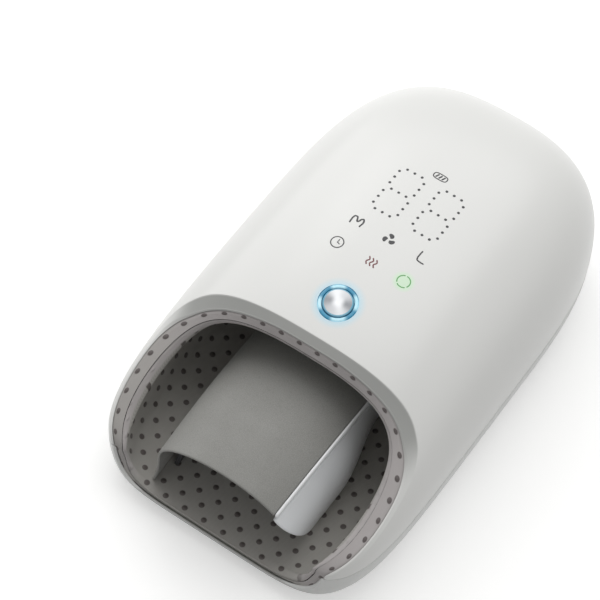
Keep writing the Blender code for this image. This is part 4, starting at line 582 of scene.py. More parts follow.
def button_metal():
    """Satin metal of the button's cap: a painted reflection, bright at the centre with grey lobes round it, and
    fine turned rings.
    """
    finish = Finish("button_silver", Metallic=0.2)
    reach, angle = round_button(finish)
    # painted reflection: the bright centre and grey lobes stand in for lamps seen in the metal
    lobes = ((angle - 0.45) * 2).math("COSINE") * 0.38 + ((angle - 0.15) * 4).math("COSINE") * 0.12 + 0.5
    colour = tint(lobes * reach.ramp(0.0006, 0.0036), (0.84, 0.85, 0.87), (0.26, 0.27, 0.29))
    rim = reach.ramp(CAP_RADIUS - 0.0008, CAP_RADIUS - 0.0006)
    colour = tint(rim * 0.85, colour, (0.10, 0.36, 0.50))
    return finish.coat(colour, reach.ramp(0, CAP_RADIUS, 0.42, 0.50), (reach * 22000).math("SINE"), 0.000004)


def ring_guide():
    """Light guide round the button: pale and deep blue by turns, and darker towards the cap."""
    finish = Finish("ring_light_guide", Emission_Strength=0.42)
    reach, angle = round_button(finish)
    turns = ((angle - 0.58) * 4).math("COSINE") * 0.42 + (angle - 0.5).math("COSINE") * 0.08 + 0.5
    streaks = finish.noise(420, 3)
    pale = tint(streaks, (0.42, 0.78, 0.90), (0.66, 0.90, 0.96))
    deep = tint(streaks, (0.012, 0.17, 0.30), (0.035, 0.28, 0.44))
    inner = reach.ramp(CAP_RADIUS + 0.0004, CAP_RADIUS + 0.0006, 0.55, 0)
    colour = tint(inner, tint(turns.ramp(0.25, 0.75), deep, pale), (0.01, 0.07, 0.16))
    return finish.coat(tint(0.45, colour, (0.05, 0.12, 0.18)), 0.3, streaks, 0.00002, Emission_Color=colour)


def ink(name, colour, glow=0.0):
    """Translucent printed ink, slightly uneven in depth and in gloss."""
    finish = Finish(name, Emission_Strength=glow)
    cloud = finish.noise(700, 3)
    shade = tint(cloud, colour, tuple(min(1.0, channel * 1.5 + 0.01) for channel in colour))
    return finish.coat(shade, cloud.ramp(0.3, 0.7, 0.30, 0.45), cloud, 0.00001, Emission_Color=shade)


def cell_wrap():
    """Shrunk wrap of a cell: blue with lengthwise shrink lines and a dark band at each end."""
    finish = Finish("cell_wrap_blue", Coat_Weight=0.4)
    x, _, _ = finish.axes()
    lines = finish.noise(1.0, 3, stretch=(40, 900, 900))
    end = x.math("ABSOLUTE").ramp(0.0305, 0.0312)
    colour = tint(end, tint(lines, (0.03, 0.12, 0.36), (0.06, 0.20, 0.52)), (0.35, 0.35, 0.36))
    return finish.coat(colour, lines.ramp(0.3, 0.7, 0.28, 0.42), lines, 0.00004)


# Each finish, with the record's slot beside it, which nothing here reads
FINISHES = {
    "gloss": (shell_gloss(), "gloss_white"),
    "lining": (lining_fabric("dotted_lining", False), "liner_fabric"),
    "trim": (lining_fabric("rim_fabric", True), "liner_fabric"),
    "rest": (rest_skin(), "rest_grey"),
    "base": (moulded("base_white_plastic", (0.70, 0.705, 0.69), 0.34, lip=(0.50, 0.50, 0.48), Coat_Weight=0.1),
             "base_white"),
    "cheek": (moulded("cheek_plastic", (0.86, 0.88, 0.895), 0.38, fade=0.92, Coat_Weight=0.1), "cheek_grey"),
    "bead": (moulded("bead_plastic", (0.85, 0.86, 0.87), 0.25), "bead_white"),
    "dark": (moulded("dark_plastic", (0.050, 0.050, 0.055), 0.45, 0.00006, 1500, 0.75), "frame_plastic"),
    "rubber": (moulded("foot_rubber", (0.030, 0.030, 0.031), 0.80, 0.0001, 2200, 0.7), "rubber"),
    "tube": (moulded("air_tube_silicone", (0.62, 0.64, 0.64), 0.38, fade=0.85, Transmission_Weight=0.35, IOR=1.41),
             None),
    "mask": (moulded("light_mask_plastic", (0.70, 0.70, 0.68), 0.55, fade=0.9), None),
    "frame_foam": (foam_stuff("charcoal_foam", (0.20, 0.20, 0.20)), "foam"),
    "pad_foam": (foam_stuff("pale_foam", (0.42, 0.41, 0.38)), "foam"),
    "bag": (bag_film(), "air_bag"),
    "heater": (heater_film(), "heater"),
    "board": (board_face(), None),
    "button": (button_metal(), "silver"),
    "ring": (ring_guide(), "ring_blue"),
    "steel": (brushed("bright_steel", (0.62, 0.62, 0.64), 0.28), "steel"),
    "can": (brushed("motor_can", (0.58, 0.57, 0.55), 0.32, along=(900, 80, 900)), None),
    "wrap": (cell_wrap(), None),
    "ink": (ink("mark_ink", (0.014, 0.014, 0.016)), "frame_plastic"),
    "red_ink": (ink("heat_mark_ink", (0.105, 0.018, 0.020)), "frame_plastic"),
    "green_ink": (ink("cycle_mark_ink", (0.075, 0.24, 0.075), 0.15), "frame_plastic"),
}
# CAD nodes that keep their own shape, by finish; a numbered family is named once
KEPT_NODES = {
    "dark": "chamber_frame palm_rest_frame button_switch rear_carrier battery_holder pump_shelf pump_head "
            "valve_manifold",
    "steel": "switch_plunger pump_rotor display_screw plinth_screw valve_plunger housing_screw",
    "board": "display_board main_board",
    "can": "pump_motor valve_body",
    "tube": "air_tube_supply air_tube_left air_tube_right air_tube_upper",
    "mask": "light_mask",
    "wrap": "battery_cell",
}


# Shells


def over_top(angle):
    """1 over the top of the mouth and 0 down its sides, in a smooth step."""
    return smooth_step(np.sin(angle), *OVER_TOP)


def mouth_line(angle):
    """Inset of the fine line between shell and trim: near the outside at the sides and deeper over the top."""
    shoulders = np.clip(1 - (np.abs(angle - pi / 2) - SHOULDER_TURN) ** 2 / SHOULDER_SPREAD, 0, 1)
    return SIDE_LINE + (TOP_LINE - SIDE_LINE + SHOULDER_LINE * shoulders) * over_top(angle)


def at_screws(profile):
    return [lathe(profile, 28, (x, y, 0)) for x, y in HOUSING_SCREW_PLACES]


def build_top_shell():
    """The outside from back to mouth, the mouth's rounded edge and the inside to the back, closed on the seam.

    Rows are sections of the body, spaced by a cosine. The edge's rows are an inset and a setback behind the mouth's
    curve: the chamfer, its round, the flat beside the trim and the trim's seat.
    """
    angle, _ = even_angles(0, pi, SHELL_COLUMNS, y=0.01, layer=level_layer(0))
    share = (1 - np.cos(np.linspace(0, pi, SHELL_ROWS)))[1:, None] / 2
    line, over = mouth_line(angle), over_top(angle)
    width = CHAMFER_WIDTH + CHAMFER_SPREAD * (1 - over)
    drop = (line - 2 * EDGE_RADIUS) * over + SIDE_DROP * smooth_step(np.sin(angle), *FROM_SEAM) * (1 - over)

    def skin(level, first):
        start = rim_y(angle, level_layer(level)) + first
        return layer_point(angle, start + (WIDEST_Y + BACK_REACH - level - start) * share, level_layer(level))

    def edge_row(inset, setback):
        layer = level_layer(inset)
        return layer_point(angle, rim_y(angle, layer) + setback, layer)
    outside, inside = skin(0.0, width)[::-1], skin(SHELL_WALL, TRIM_SEAT + 0.0001)
    places = [(drop * part, EDGE_RADIUS + (width - EDGE_RADIUS) * (1 - part))
              for part in np.linspace(0, 1, CHAMFER_ROWS)]
    places += [(drop + EDGE_RADIUS * (1 - math.cos(turn)), EDGE_RADIUS * (1 - math.sin(turn)))
               for turn in (0.5, 1.0)]
    places += [(drop + EDGE_RADIUS + (line - drop - EDGE_RADIUS) * part, 0) for part in (0.0, 0.5, 0.9)]
    places += [(line, setback) for setback in (0.0001, 0.0004, 0.0010, 0.0028, TRIM_SEAT)]
    places.append((SHELL_WALL + 0 * angle, TRIM_SEAT + 0.0001))
    grid = np.concatenate([outside, [edge_row(*place) for place in places], inside])
    grid[:len(outside) + CHAMFER_ROWS, [0, -1], 0] += (-SEAM_EASE, SEAM_EASE)
    points, quads = sheet_part(grid, closed=False)
    count, columns = grid.shape[:2]
    outer = np.arange(count // 2)
    inner = count - 1 - outer
    for column in (0, columns - 1):
        rungs = np.stack([outer[:-1], outer[1:], inner[1:], inner[:-1]], -1)
        quads = np.concatenate([quads, rungs * columns + column])
    # mask of the painted shade: the chamfer rows over the top of the mouth, fading down its sides
    band = np.zeros(grid.shape[:2])
    band[len(outside) + 1:len(outside) + len(places)] = over
    shell = piece("top_shell_skin", [(points, quads)], "gloss", "top_shell", sharp=14, marks={"mouth_painted_shade": band})
    bore(shell, RING_RADIUS + GAP, -0.008, 0.004, 96, BUTTON_CENTRE, BUTTON_TILT, sharp=14)
    bosses = at_screws(((BOSS_BORE, SEAM_HEIGHT + GAP), (BOSS_RADIUS - BOSS_BREAK, SEAM_HEIGHT),
                        (BOSS_RADIUS, SEAM_HEIGHT + BOSS_BREAK), (BOSS_RADIUS, TOP_HEIGHT),
                        (BOSS_BORE, TOP_HEIGHT), (BOSS_BORE, SEAM_HEIGHT + GAP)))
    for points, _ in bosses:
        points[:, 2] = np.minimum(points[:, 2], surface_height(points[:, 0], points[:, 1], SHELL_WALL * 0.7))
    piece("shell_bosses", bosses, "gloss")


def plan_outline(angle, inset=0.0, front_inset=0.0):
    """The plan's superellipse, drawn in by one inset at sides and back and by another at the front."""
    back = np.sin(angle) >= 0
    shape = np.where(back, PLAN_BACK_SHAPE, PLAN_FRONT_SHAPE)
    reach = np.where(back, BACK_REACH - inset, FRONT_REACH - front_inset)
    x = (BODY_WIDTH / 2 - inset) * superpower(np.cos(angle), 2 / shape)
    return x, WIDEST_Y + reach * superpower(np.sin(angle), 2 / shape)


def base_round(height, floor):
    """How far the side is drawn in near a floor: a quarter ellipse."""
    share = np.clip((floor + BASE_ROUND_HEIGHT - height) / BASE_ROUND_HEIGHT, 0, 1)
    return BASE_ROUND_WIDTH * (1 - np.sqrt(1 - share ** 2))


def base_angles():
    """Angles round the plan, about evenly spaced, with two close columns at each end of the lip."""
    def even(start, end, count):
        fine = np.linspace(start, end, 3001)
        return evenly(np.stack(plan_outline(fine), -1), fine, count)[0]
    before, after = (math.asin(((WIDEST_Y - CORNER_Y + step) / FRONT_REACH) ** (PLAN_FRONT_SHAPE / 2))
                     for step in (-STEP_WIDTH / 2, STEP_WIDTH / 2))
    return np.concatenate([even(0, pi, 140), even(pi, pi + before, 60)[1:], even(pi + after, 2 * pi - after, 130),
                           even(2 * pi - before, 2 * pi, 60)[:-1]])


def build_base_shell():
    """Rows from the middle of the floor up the outside, over the rounded top edge and down the inside.

    The side wall is thinner near the mouth, and the lip rises at its ends in a fillet under the trim.
    """
    angle = base_angles()
    side, rim = plan_outline(angle)
    on_lip = rim < CORNER_Y
    trim = layer_point(np.linspace(-pi / 2, 0, 400), CORNER_Y, Layer(SIDE_LINE + FINE_LINE, 0, LIP_HEIGHT + GAP, 0))
    fillet = np.clip(np.interp(np.abs(side), trim[:, 0], trim[:, 2]) - 2 * GAP, LIP_HEIGHT, SEAM_HEIGHT - GAP)
    top = np.where(on_lip, fillet, SEAM_HEIGHT - GAP)
    thin = 1 - THIN_FRONT * smooth_step(-rim, THIN_FROM, THIN_TO)

    def row(height, floor, wall):
        wall = wall * thin
        rounded = base_round(height, floor)
        below_lip = np.maximum(rounded - base_round(LIP_HEIGHT, floor), 0)
        lip_wall = np.where(on_lip, (LIP_WALL * wall / BASE_WALL) * np.abs(np.sin(angle)), 0)
        x, y = plan_outline(angle, rounded + wall, FRONT_INSET_SHARE * (below_lip + wall) + lip_wall)
        return np.stack([x, y, height + 0 * x], -1)

    def face(floor, wall, inward):
        """Rows of one face of the wall, from the middle of its floor to the round of its edge."""
        flat, centre = row(floor + 0 * top, floor, wall), np.array((0, WIDEST_Y, floor))
        rows = [centre + (flat - centre) * share for share in (0.0, 0.35, 0.7, 0.9)]
        rows += [row(floor + (top - WALL_ROUND - floor) * share, floor, wall)
                 for share in 1 - np.cos(np.linspace(0, pi / 2, 26))]
        return rows + [row(top - WALL_ROUND * (1 - math.sin(turn)), floor,
                           wall + inward * WALL_ROUND * (1 - math.cos(turn)))
                       for turn in np.linspace(0, pi / 2, 4)[1:]]
    rows = face(BASE_HEIGHT, 0, 1) + face(FLOOR_BASE, BASE_WALL, -1)[::-1]
    base = piece("base_shell_skin", [sheet_part(np.stack(rows))], "base", "base_shell")
    for x, y in HOUSING_SCREW_PLACES:
        bore(base, HEAD_BORE, 0, HEAD_DEPTH, 32, (x, y, 0))
    foot, head = BASE_HEIGHT + BASE_WALL / 2, SEAM_HEIGHT - GAP
    piece("base_posts", at_screws(((HEAD_BORE, foot), (BOSS_RADIUS, foot), (BOSS_RADIUS, head - BOSS_BREAK),
                                   (BOSS_RADIUS - BOSS_BREAK, head), (BOSS_BORE, head), (BOSS_BORE, HEAD_DEPTH),
                                   (HEAD_BORE, HEAD_DEPTH), (HEAD_BORE, foot))), "base")


# Mouth trim and lining


def mouth_angles(count=300):
    """Angles evenly apart along the mouth's own edge, from the middle of the floor round and back to it."""
    fine, _ = even_angles(-pi / 2, 1.5 * pi, 4001, y=-0.08, layer=RIM_OUTER)
    return evenly(layer_point(fine, rim_y(fine, RIM_OUTER), RIM_OUTER), fine, count + 1)[0][:-1]


def trim_section():
    """Section of the mouth's trim as shares (across, along): a wide round outside and a small one inside."""
    turn = np.linspace(0, pi / 2, 6)
    wide, deep, small = 0.30, 0.40, 0.06
    flat, back = np.linspace(wide, 1 - small, 7)[1:-1], np.linspace(1, 0, 9)[:-1]
    across = np.concatenate([[0], wide * (1 - np.cos(turn)), flat, 1 - small + small * np.sin(turn), back])
    along = np.concatenate([[1], deep * (1 - np.sin(turn)), 0 * flat, small * (1 - np.cos(turn)), 1 + 0 * back])
    return across, along


def build_bezel():
    """Trim round the mouth, wrapped in the lining's fabric, from the fine line on the shell to the lining's lip.

    Each row is the section's place between the two layers, behind the mouth's curve. The cloth runs round by the
    way along the section's middle; its band is painted light on the upper trim, cut back by painted shade low
    down and on the left.
    """
    angle = mouth_angles()
    turned = np.append(angle, angle[0] + 2 * pi)
    line, floor = mouth_line(turned) + FINE_LINE, LIP_HEIGHT + GAP
    outer = Layer(line, line, floor, 0)
    inner = Layer(BEZEL_INSET + BEZEL_SIDE + RIM_OVERLAP, BEZEL_INSET + BEZEL_BROW + RIM_OVERLAP,
                  floor + BEZEL_LIP, 0)
    rows = []
    for across, along in zip(*trim_section()):
        layer = mix_layers(outer, inner, across)
        rows.append(layer_point(turned, rim_y(turned, layer) + BEZEL_DEPTH * along, layer))
    middle = rows[len(rows) // 2]
    grid = np.stack(rows + rows[:1])
    way = way_along(middle)
    way *= round(way[-1] / RIM_DOT_PITCH) * RIM_DOT_PITCH / way[-1]
    tangent = np.gradient(middle, axis=0)
    tangent /= np.linalg.norm(tangent, axis=1, keepdims=True)
    nearest = way + ((grid - middle) * tangent).sum(-1)
    uv = np.stack(np.broadcast_arrays(nearest, way_along(grid).mean(axis=1)[:, None]), -1)
    # painted light on the upper trim, cut back by painted shade low down on the left
    painted_shade_low_left = smooth_step(-grid[..., 0], *PAINTED_SHADE_LEFT) * (1 - smooth_step(grid[..., 2], *PAINTED_SHADE_BELOW))
    band = smooth_step(grid[..., 2], *TRIM_PAINTED_LIGHT_FROM) * (1 - TRIM_PAINTED_SHADE * painted_shade_low_left)
    piece("mouth_bezel_trim", [sheet_part(grid, closed=False)], "trim", "mouth_bezel", sharp=60, uv=uv,
          marks={"painted_light_band": band})


def puff(angle, y, front):
    """Softness of the lining: it stands in by part of a millimetre over each bag and lies back between them."""
    deep = share_of(y - front - ROLL_DEPTH, 0, 0.02) * share_of(LINER_BACK_Y - y, 0, 0.012)
    over_bags = np.clip(np.cos(2 * angle) ** 2 * 1.4, 0, 1)
    ripple = 0.5 + 0.5 * np.sin(2 * pi * (y + 0.02 * np.cos(3 * angle)) / PUFF_PITCH)
    return PUFF * deep * over_bags * (0.4 + 0.6 * ripple) * np.clip(np.sin(angle) + 0.35, 0, 1)


def build_lining():
    """Outside from the end wall to the mouth, a round lip, and the inside back to the end wall, which closes in.

    The cloth's u is the way round each row from the floor's middle. Its v is y, carried on over the end wall.
    """
    angle = even_angles(-pi / 2, 1.5 * pi, 301, y=-0.06)[0][:-1]
    front = rim_y(angle, RIM_OUTER)
    share = np.concatenate([np.linspace(0, 1, 26)[1:] ** 1.5 * 0.16, np.linspace(0.16, 1, 70)[1:]])[:, None]
    lip_outer = Layer(RIM_OUTER.side - LIP_EASE, RIM_OUTER.top - LIP_EASE, RIM_OUTER.floor - LIP_EASE / 2, 0)

    def sheet(rim_layer, deep_layer, back_y, softness):
        y = front + LIP_ROUND + (back_y - front - LIP_ROUND) * share
        layer = rolled_layer(rim_layer, deep_layer, y - front)
        give = softness * puff(angle, y, front)
        return layer_point(angle, y, layer._replace(side=layer.side + give, top=layer.top + give))

    def end_wall(row):
        centre = row.mean(axis=0)
        return centre + (row - centre) * np.array((0.0, 0.3, 0.6, 0.85))[:, None, None]
    outside = sheet(lip_outer, LINER_OUTER, LINER_BACK_Y + LINER_THICKNESS, 0)
    inside = sheet(RIM_INNER, LINER_INNER, LINER_BACK_Y, 1)
    turn = np.linspace(0, pi, 7)[:, None]
    depth = 0.5 - 0.5 * np.cos(turn)
    layer = rolled_layer(mix_layers(lip_outer, RIM_INNER, depth), mix_layers(LINER_OUTER, LINER_INNER, depth),
                         LIP_ROUND)
    edge = layer_point(angle, front + LIP_ROUND * (1 - np.sin(turn)), layer)
    closing = end_wall(outside[-1])
    grid = np.concatenate([closing, outside[::-1], edge, inside, end_wall(inside[-1])[::-1]])
    grid = np.concatenate([grid, grid[:, :1]], axis=1)
    girth = way_along(grid[..., [0, 2]].swapaxes(0, 1)).T
    past_top = np.arange(girth.shape[1]) > np.argmin(np.abs(angle - pi / 2))
    u = np.where(past_top, girth - girth[:, -1:], girth)
    reach = np.abs(grid[..., 0]).max(axis=1, keepdims=True)
    on_wall = grid[..., 1] > LINER_BACK_Y - 0.001
    v = grid[..., 1] + np.clip(reach[len(closing) + 5] - reach, 0, None) * on_wall
    depth = np.clip((grid[..., 1] - np.append(front, front[0])) / ROLL_DEPTH, 0, None)
    # painted light: a pale band on the lip's roll, fading with depth behind the mouth, narrower high up and gone
    # near the floor
    band_end = PAINTED_LIGHT_DEPTH - PAINTED_LIGHT_LOSS * share_of(grid[..., 2], *PAINTED_LIGHT_THINNER)
    band = np.clip((band_end - depth) / PAINTED_LIGHT_BLUR + 0.5, 0, 1) * share_of(grid[..., 2], *PAINTED_LIGHT_FROM)
    piece("chamber_lining", [sheet_part(grid, closed=False)], "lining", "chamber_liner", sharp=60, fill=0.3,
          uv=np.stack([u, v], -1), marks={"painted_light_band": band})


def build_rim_foam():
    """Foam ring behind the trim: a sleeve on the outside of the lining's roll, from the trim to the roll's end."""
    angle = mouth_angles(260)
    rim = rim_y(angle, RIM_OUTER)
    wall = SHELL_WALL + 3 * GAP

    def sleeve_layer(y, share):
        under = rolled_layer(RIM_OUTER, LINER_OUTER, y - rim)
        clear = Layer(under.side - 4 * GAP, under.top - 4 * GAP, under.floor - GAP, under.taper)
        outside = Layer(np.maximum(clear.side - SLEEVE_FOAM, wall), np.maximum(clear.top - SLEEVE_FOAM, wall),
                        FLOOR_BASE + GAP, clear.taper)
        return mix_layers(outside, clear, share)
    first = rim_y(angle, sleeve_layer(rim, 0)) + BEZEL_DEPTH + 3 * GAP
    last = np.maximum(rim + ROLL_DEPTH, first + SLEEVE_FOAM)
    turn = (np.linspace(0, pi / 2, 4) + pi / 2 * np.arange(4)[:, None]).ravel()
    straight = 0.5 - SLEEVE_ROUND
    corners = (0.5 + straight * np.repeat((1, -1, -1, 1), 4) + SLEEVE_ROUND * np.cos(turn),
               0.5 + straight * np.repeat((1, 1, -1, -1), 4) + SLEEVE_ROUND * np.sin(turn))
    finer = np.linspace(0, len(turn), FOAM_STEPS * len(turn) + 1)[:-1]
    across, along = (np.interp(finer, np.arange(len(turn) + 1), np.append(share, share[0]))[:, None]
                     for share in corners)
    y = first + (last - first) * along
    rows = layer_point(angle, y, sleeve_layer(y, across))
    piece("rim_foam_ring", [sheet_part(np.concatenate([rows, rows[:1]]))], "frame_foam", "rim_foam", sharp=60,
          fill=0.6)


def chamber_sheet(outer, inner, start, end, columns, rows, wall, swell=even_swell):
    """A thin rounded sheet between two layers, over a range of angles, from behind the roll to the bags' back."""
    angle_table, wide = even_angles(math.radians(start), math.radians(end), 200)

    def surface(u, v, depth):
        angle = np.interp(u / wide, np.linspace(0, 1, 200), angle_table)
        front = rim_y(angle, RIM_OUTER) + FRAME_SETBACK
        first = front + FIRST_BAG_ROW * (BAG_BACK_Y - front)
        y = first + (BAG_BACK_Y - first) * v / SHEET_LENGTH
        depth = 0.5 + (depth - 0.5) * swell(u / wide, v / SHEET_LENGTH)
        return layer_point(angle, y, mix_layers(outer, inner, depth))
    return rounded_wall(surface, wide, SHEET_LENGTH, wall, columns, rows)


def bag_cells(across, along):
    """Three chambers welded apart: full in the middle of each and nearly flat on the welds and the rim."""
    cell = np.abs(np.sin(3 * pi * np.clip(across, 0, 1))) ** 0.45
    end = np.clip(np.sin(pi * np.clip(along, 0, 1)) * 3, 0, 1) ** 0.6
    weld = np.clip(np.abs(np.sin(2 * pi * along)) * 4, 0.25, 1)
    return 0.22 + 0.78 * cell * end * weld


def build_chamber_soft_parts():
    """Air bags, heating film and floor foam: each a sheet between its own two layers."""
    for name, start, end, inner in (("right_air_bag", -35, 42, PAD_INNER), ("left_air_bag", 138, 215, PAD_INNER),
                                    ("upper_air_bag", 50, 130, BAG_INNER)):
        part = chamber_sheet(BAG_OUTER, inner, start, end, 90, 80, 0.0008, bag_cells)
        piece(name + "_film", [part], "bag", name, sharp=70, fill=0.2)
    part = chamber_sheet(PAD_OUTER, PAD_INNER, 50, 130, 80, 50, 0.0005)
    piece("heating_film", [part], "heater", "heating_pad", sharp=70, fill=0.1)
    part = chamber_sheet(BAG_OUTER, BAG_INNER, -136, -44, 70, 60, 0.0008)
    piece("floor_foam_sheet", [part], "frame_foam", "floor_foam", sharp=70, fill=0.6)


# Palm rest


def chamber_floor_at(x, y):
    """Height of the lining's floor under a point, and a clearance above it."""
    drawn = LINER_INNER.taper * np.maximum(y - BROW_Y, 0)
    share = np.abs(x) / half_width(np.maximum(y, CORNER_Y), LINER_INNER.side + drawn)
    return SEAM_HEIGHT - (SEAM_HEIGHT - LINER_INNER.floor) * rounded_share(share, FLOOR_SHAPE) + 1.5 * GAP


def rest_point(way, y, inset):
    """The arch at y: way -1..0 climbs the flared left leg, 0..1 goes over the elliptic crown to the ridge.

    It sinks towards the back by the square of the way there, and swells to the left in the middle.
    """
    share = (y - REST_FRONT_Y) / (REST_BACK_Y - REST_FRONT_Y)
    sink = REST_DROP * share ** 2
    shoulder = REST_SHOULDER - SHOULDER_DROP_SHARE * sink
    rise = REST_CROWN - sink - shoulder
    turn = pi + (RIDGE_ANGLE - pi) * np.clip(way, 0, 1)
    leg = np.clip(-way, 0, 1)
    swell = REST_SWELL * np.sin(pi * share)
    left = REST_CENTRE_X - (REST_HALF_WIDTH + swell - inset)
    floor = chamber_floor_at(left - REST_FOOT_FLARE - inset, y)
    reach = REST_HALF_WIDTH + np.where(np.cos(turn) < 0, swell, 0) - inset
    x = np.where(way < 0, left - REST_FOOT_FLARE * leg ** 2, REST_CENTRE_X + reach * np.cos(turn))
    z = np.where(way < 0, floor + (shoulder - floor) * (1 - leg), shoulder + (rise - inset) * np.sin(turn))
    return np.stack(np.broadcast_arrays(x, y, z), -1)


def rest_sheet(outer_inset, wall, front_y, back_y, columns, rows, swell=even_swell):
    """A rounded sheet of the arch, from an inset to a wall further in."""
    fine = np.linspace(-1, 1, 2001)
    length = way_along(rest_point(fine, -0.05, outer_inset))

    def surface(u, v, depth):
        depth = depth * swell(u / length[-1], v / (back_y - front_y))
        return rest_point(np.interp(u, length, fine), front_y + v, outer_inset + wall * depth)
    return rounded_wall(surface, length[-1], back_y - front_y, wall, columns, rows)


def build_palm_rest():
    part = rest_sheet(0, REST_COVER, REST_FRONT_Y, REST_BACK_Y, 120, 110)
    piece("palm_rest_skin", [part], "rest", "palm_rest_cover", sharp=70)
    front, back = REST_FRONT_Y + REST_EDGE_SETBACK + FOAM_SETBACK, REST_BACK_Y - REST_EDGE_SETBACK
    part = rest_sheet(REST_COVER + GAP, REST_PAD, front, back, 90, 90,
                      lambda across, along: 0.93 + 0.07 * np.sin(9 * across) * np.sin(14 * along))
    piece("palm_rest_foam", [part], "pad_foam", "palm_rest_pad", sharp=70, fill=0.6)


def build_bead():
    """Round bead beside the ridge, drawn to a rounded point at both ends."""
    turn, end = np.linspace(0, 2 * pi, 20, endpoint=False), np.linspace(0, pi / 2, 6)
    rise = BEAD_RADIUS * (1 - np.cos(end))
    straight = np.linspace(REST_FRONT_Y + BEAD_RADIUS, REST_BACK_Y - BEAD_RADIUS, 42)[1:-1]
    y = np.concatenate([REST_FRONT_Y + rise, straight, REST_BACK_Y - rise[::-1]])
    size = np.concatenate([np.sin(end), np.ones(len(straight)), np.sin(end[::-1])])
    reach = BEAD_RADIUS * BEAD_REACH
    centre = rest_point(1.0, y, 0) + np.array((reach * math.sin(RIDGE_ANGLE), 0, -reach * math.cos(RIDGE_ANGLE)))
    ring = np.stack([BEAD_FLATNESS * np.cos(turn), 0 * turn, np.sin(turn)], -1)
    grid = centre[:, None] + BEAD_RADIUS * size[:, None, None] * ring
    piece("palm_rest_bead", [sheet_part(grid)], "bead", "palm_rest_edge")


def build_cheek():
    """Bowed panel from under the bead to the floor, whose front edge slants back in a curve."""
    def surface(u, v, depth):
        share = np.clip(u / CHEEK_DEPTH, 0, 1)
        front = REST_FRONT_Y + CHEEK_SLANT * share ** 1.6
        y = front + (REST_BACK_Y - front) * v / CHEEK_LENGTH
        ridge = rest_point(1.0, y, 0)
        start_x = ridge[..., 0] + BEAD_RADIUS * math.sin(RIDGE_ANGLE)
        start_z = ridge[..., 2] - 2 * (BEAD_RADIUS + GAP) - BEAD_RADIUS * math.cos(RIDGE_ANGLE)
        narrowing = CHEEK_NARROWING * smooth_step(y - REST_FRONT_Y, NARROW_FROM, NARROW_TO)
        bulge = (CHEEK_BULGE - narrowing / 2) * np.sin(pi * share)
        x = start_x + (CHEEK_FOOT_X - narrowing - start_x) * share + bulge - CHEEK_WALL * depth
        floor = chamber_floor_at(CHEEK_FOOT_X, y[:, -1:])
        return np.stack([x, y, start_z + (floor - start_z) * share], -1)
    part = rounded_wall(surface, CHEEK_DEPTH, CHEEK_LENGTH, CHEEK_WALL, 50, 90)
    piece("palm_rest_side_panel", [part], "cheek", "palm_rest_cheek", sharp=70)


# Button


BUTTON_CENTRE = (0, BUTTON_Y, float(crown(BUTTON_Y, 0)))
BUTTON_TILT = math.atan2(float(crown(BUTTON_Y + CAP_RADIUS, 0) - crown(BUTTON_Y - CAP_RADIUS, 0)), 2 * CAP_RADIUS)


def build_button():
    """Cap with a broken edge and a faint dish, on a skirt and stem; the ring is a light guide round it."""
    share, turn = np.linspace(0, 1, 14), np.linspace(0.2, pi / 2, 6)
    dish = CAP_DISH * np.exp(-(share / 0.25) ** 2)
    dome = zip(CAP_RADIUS * CAP_TOP * share, CAP_DOME * (1 - 0.55 * share ** 2) - dish)
    edge = zip(CAP_RADIUS * (CAP_TOP + (1 - CAP_TOP) * np.sin(turn)), CAP_DOME * 0.45 * np.cos(turn))
    flange = -SHELL_WALL - GAP
    sleeve = flange - RING_FLANGE_HEIGHT
    skirt = sleeve - RUNNING_GAP
    foot = skirt - CAP_FLANGE_HEIGHT
    profile = [*dome, *edge, (CAP_RADIUS, CAP_EDGE_FOOT), (CAP_RADIUS, skirt), (CAP_FLANGE_RADIUS, skirt),
               (CAP_FLANGE_RADIUS, foot), (STEM_RADIUS, foot), (STEM_RADIUS, -STEM_FOOT), (0, -STEM_FOOT)]
    piece("button_cap", [lathe(profile, 72, BUTTON_CENTRE, BUTTON_TILT)], "button", "power_button",
          body="power_button", sharp=50)
    inner, turn = CAP_RADIUS + RUNNING_GAP, np.linspace(0, pi, 9)
    top = zip((RING_RADIUS + inner) / 2 + (RING_RADIUS - inner) / 2 * np.cos(turn),
              RING_PROUD - RING_ROUND + RING_ROUND * np.sin(turn))
    profile = [(inner, sleeve), (RING_FLANGE_RADIUS, sleeve), (RING_FLANGE_RADIUS, flange), (RING_RADIUS, flange),
               *top, (inner, sleeve)]
    piece("button_light_ring", [lathe(profile, 96, BUTTON_CENTRE, BUTTON_TILT)], "ring", "button_ring", sharp=50)


# Marks of the display


def on_shell(x, y, rise):
    return np.stack([x, y, surface_height(x, y) + rise], -1)


def patch(x, y):
    """A flat mark: rings from its middle to its outline on the shell, turned down over the edge into the wall."""
    middle_x, middle_y = x.mean(), y.mean()
    rows = [on_shell(middle_x + (x - middle_x) * share, middle_y + (y - middle_y) * share, rise)
            for share, rise in ((0.0, MARK_RISE), (0.5, MARK_RISE), (0.94, MARK_RISE), (1, MARK_RISE * 0.5),
                                (1, -MARK_ROOT))]
    rows.append(np.broadcast_to(rows[-1].mean(axis=0), rows[-1].shape))
    return sheet_part(np.stack(rows))


def disc(x, y, radius):
    turn = np.linspace(0, 2 * pi, 14, endpoint=False)
    return patch(x + radius * np.cos(turn), y + radius * np.sin(turn))


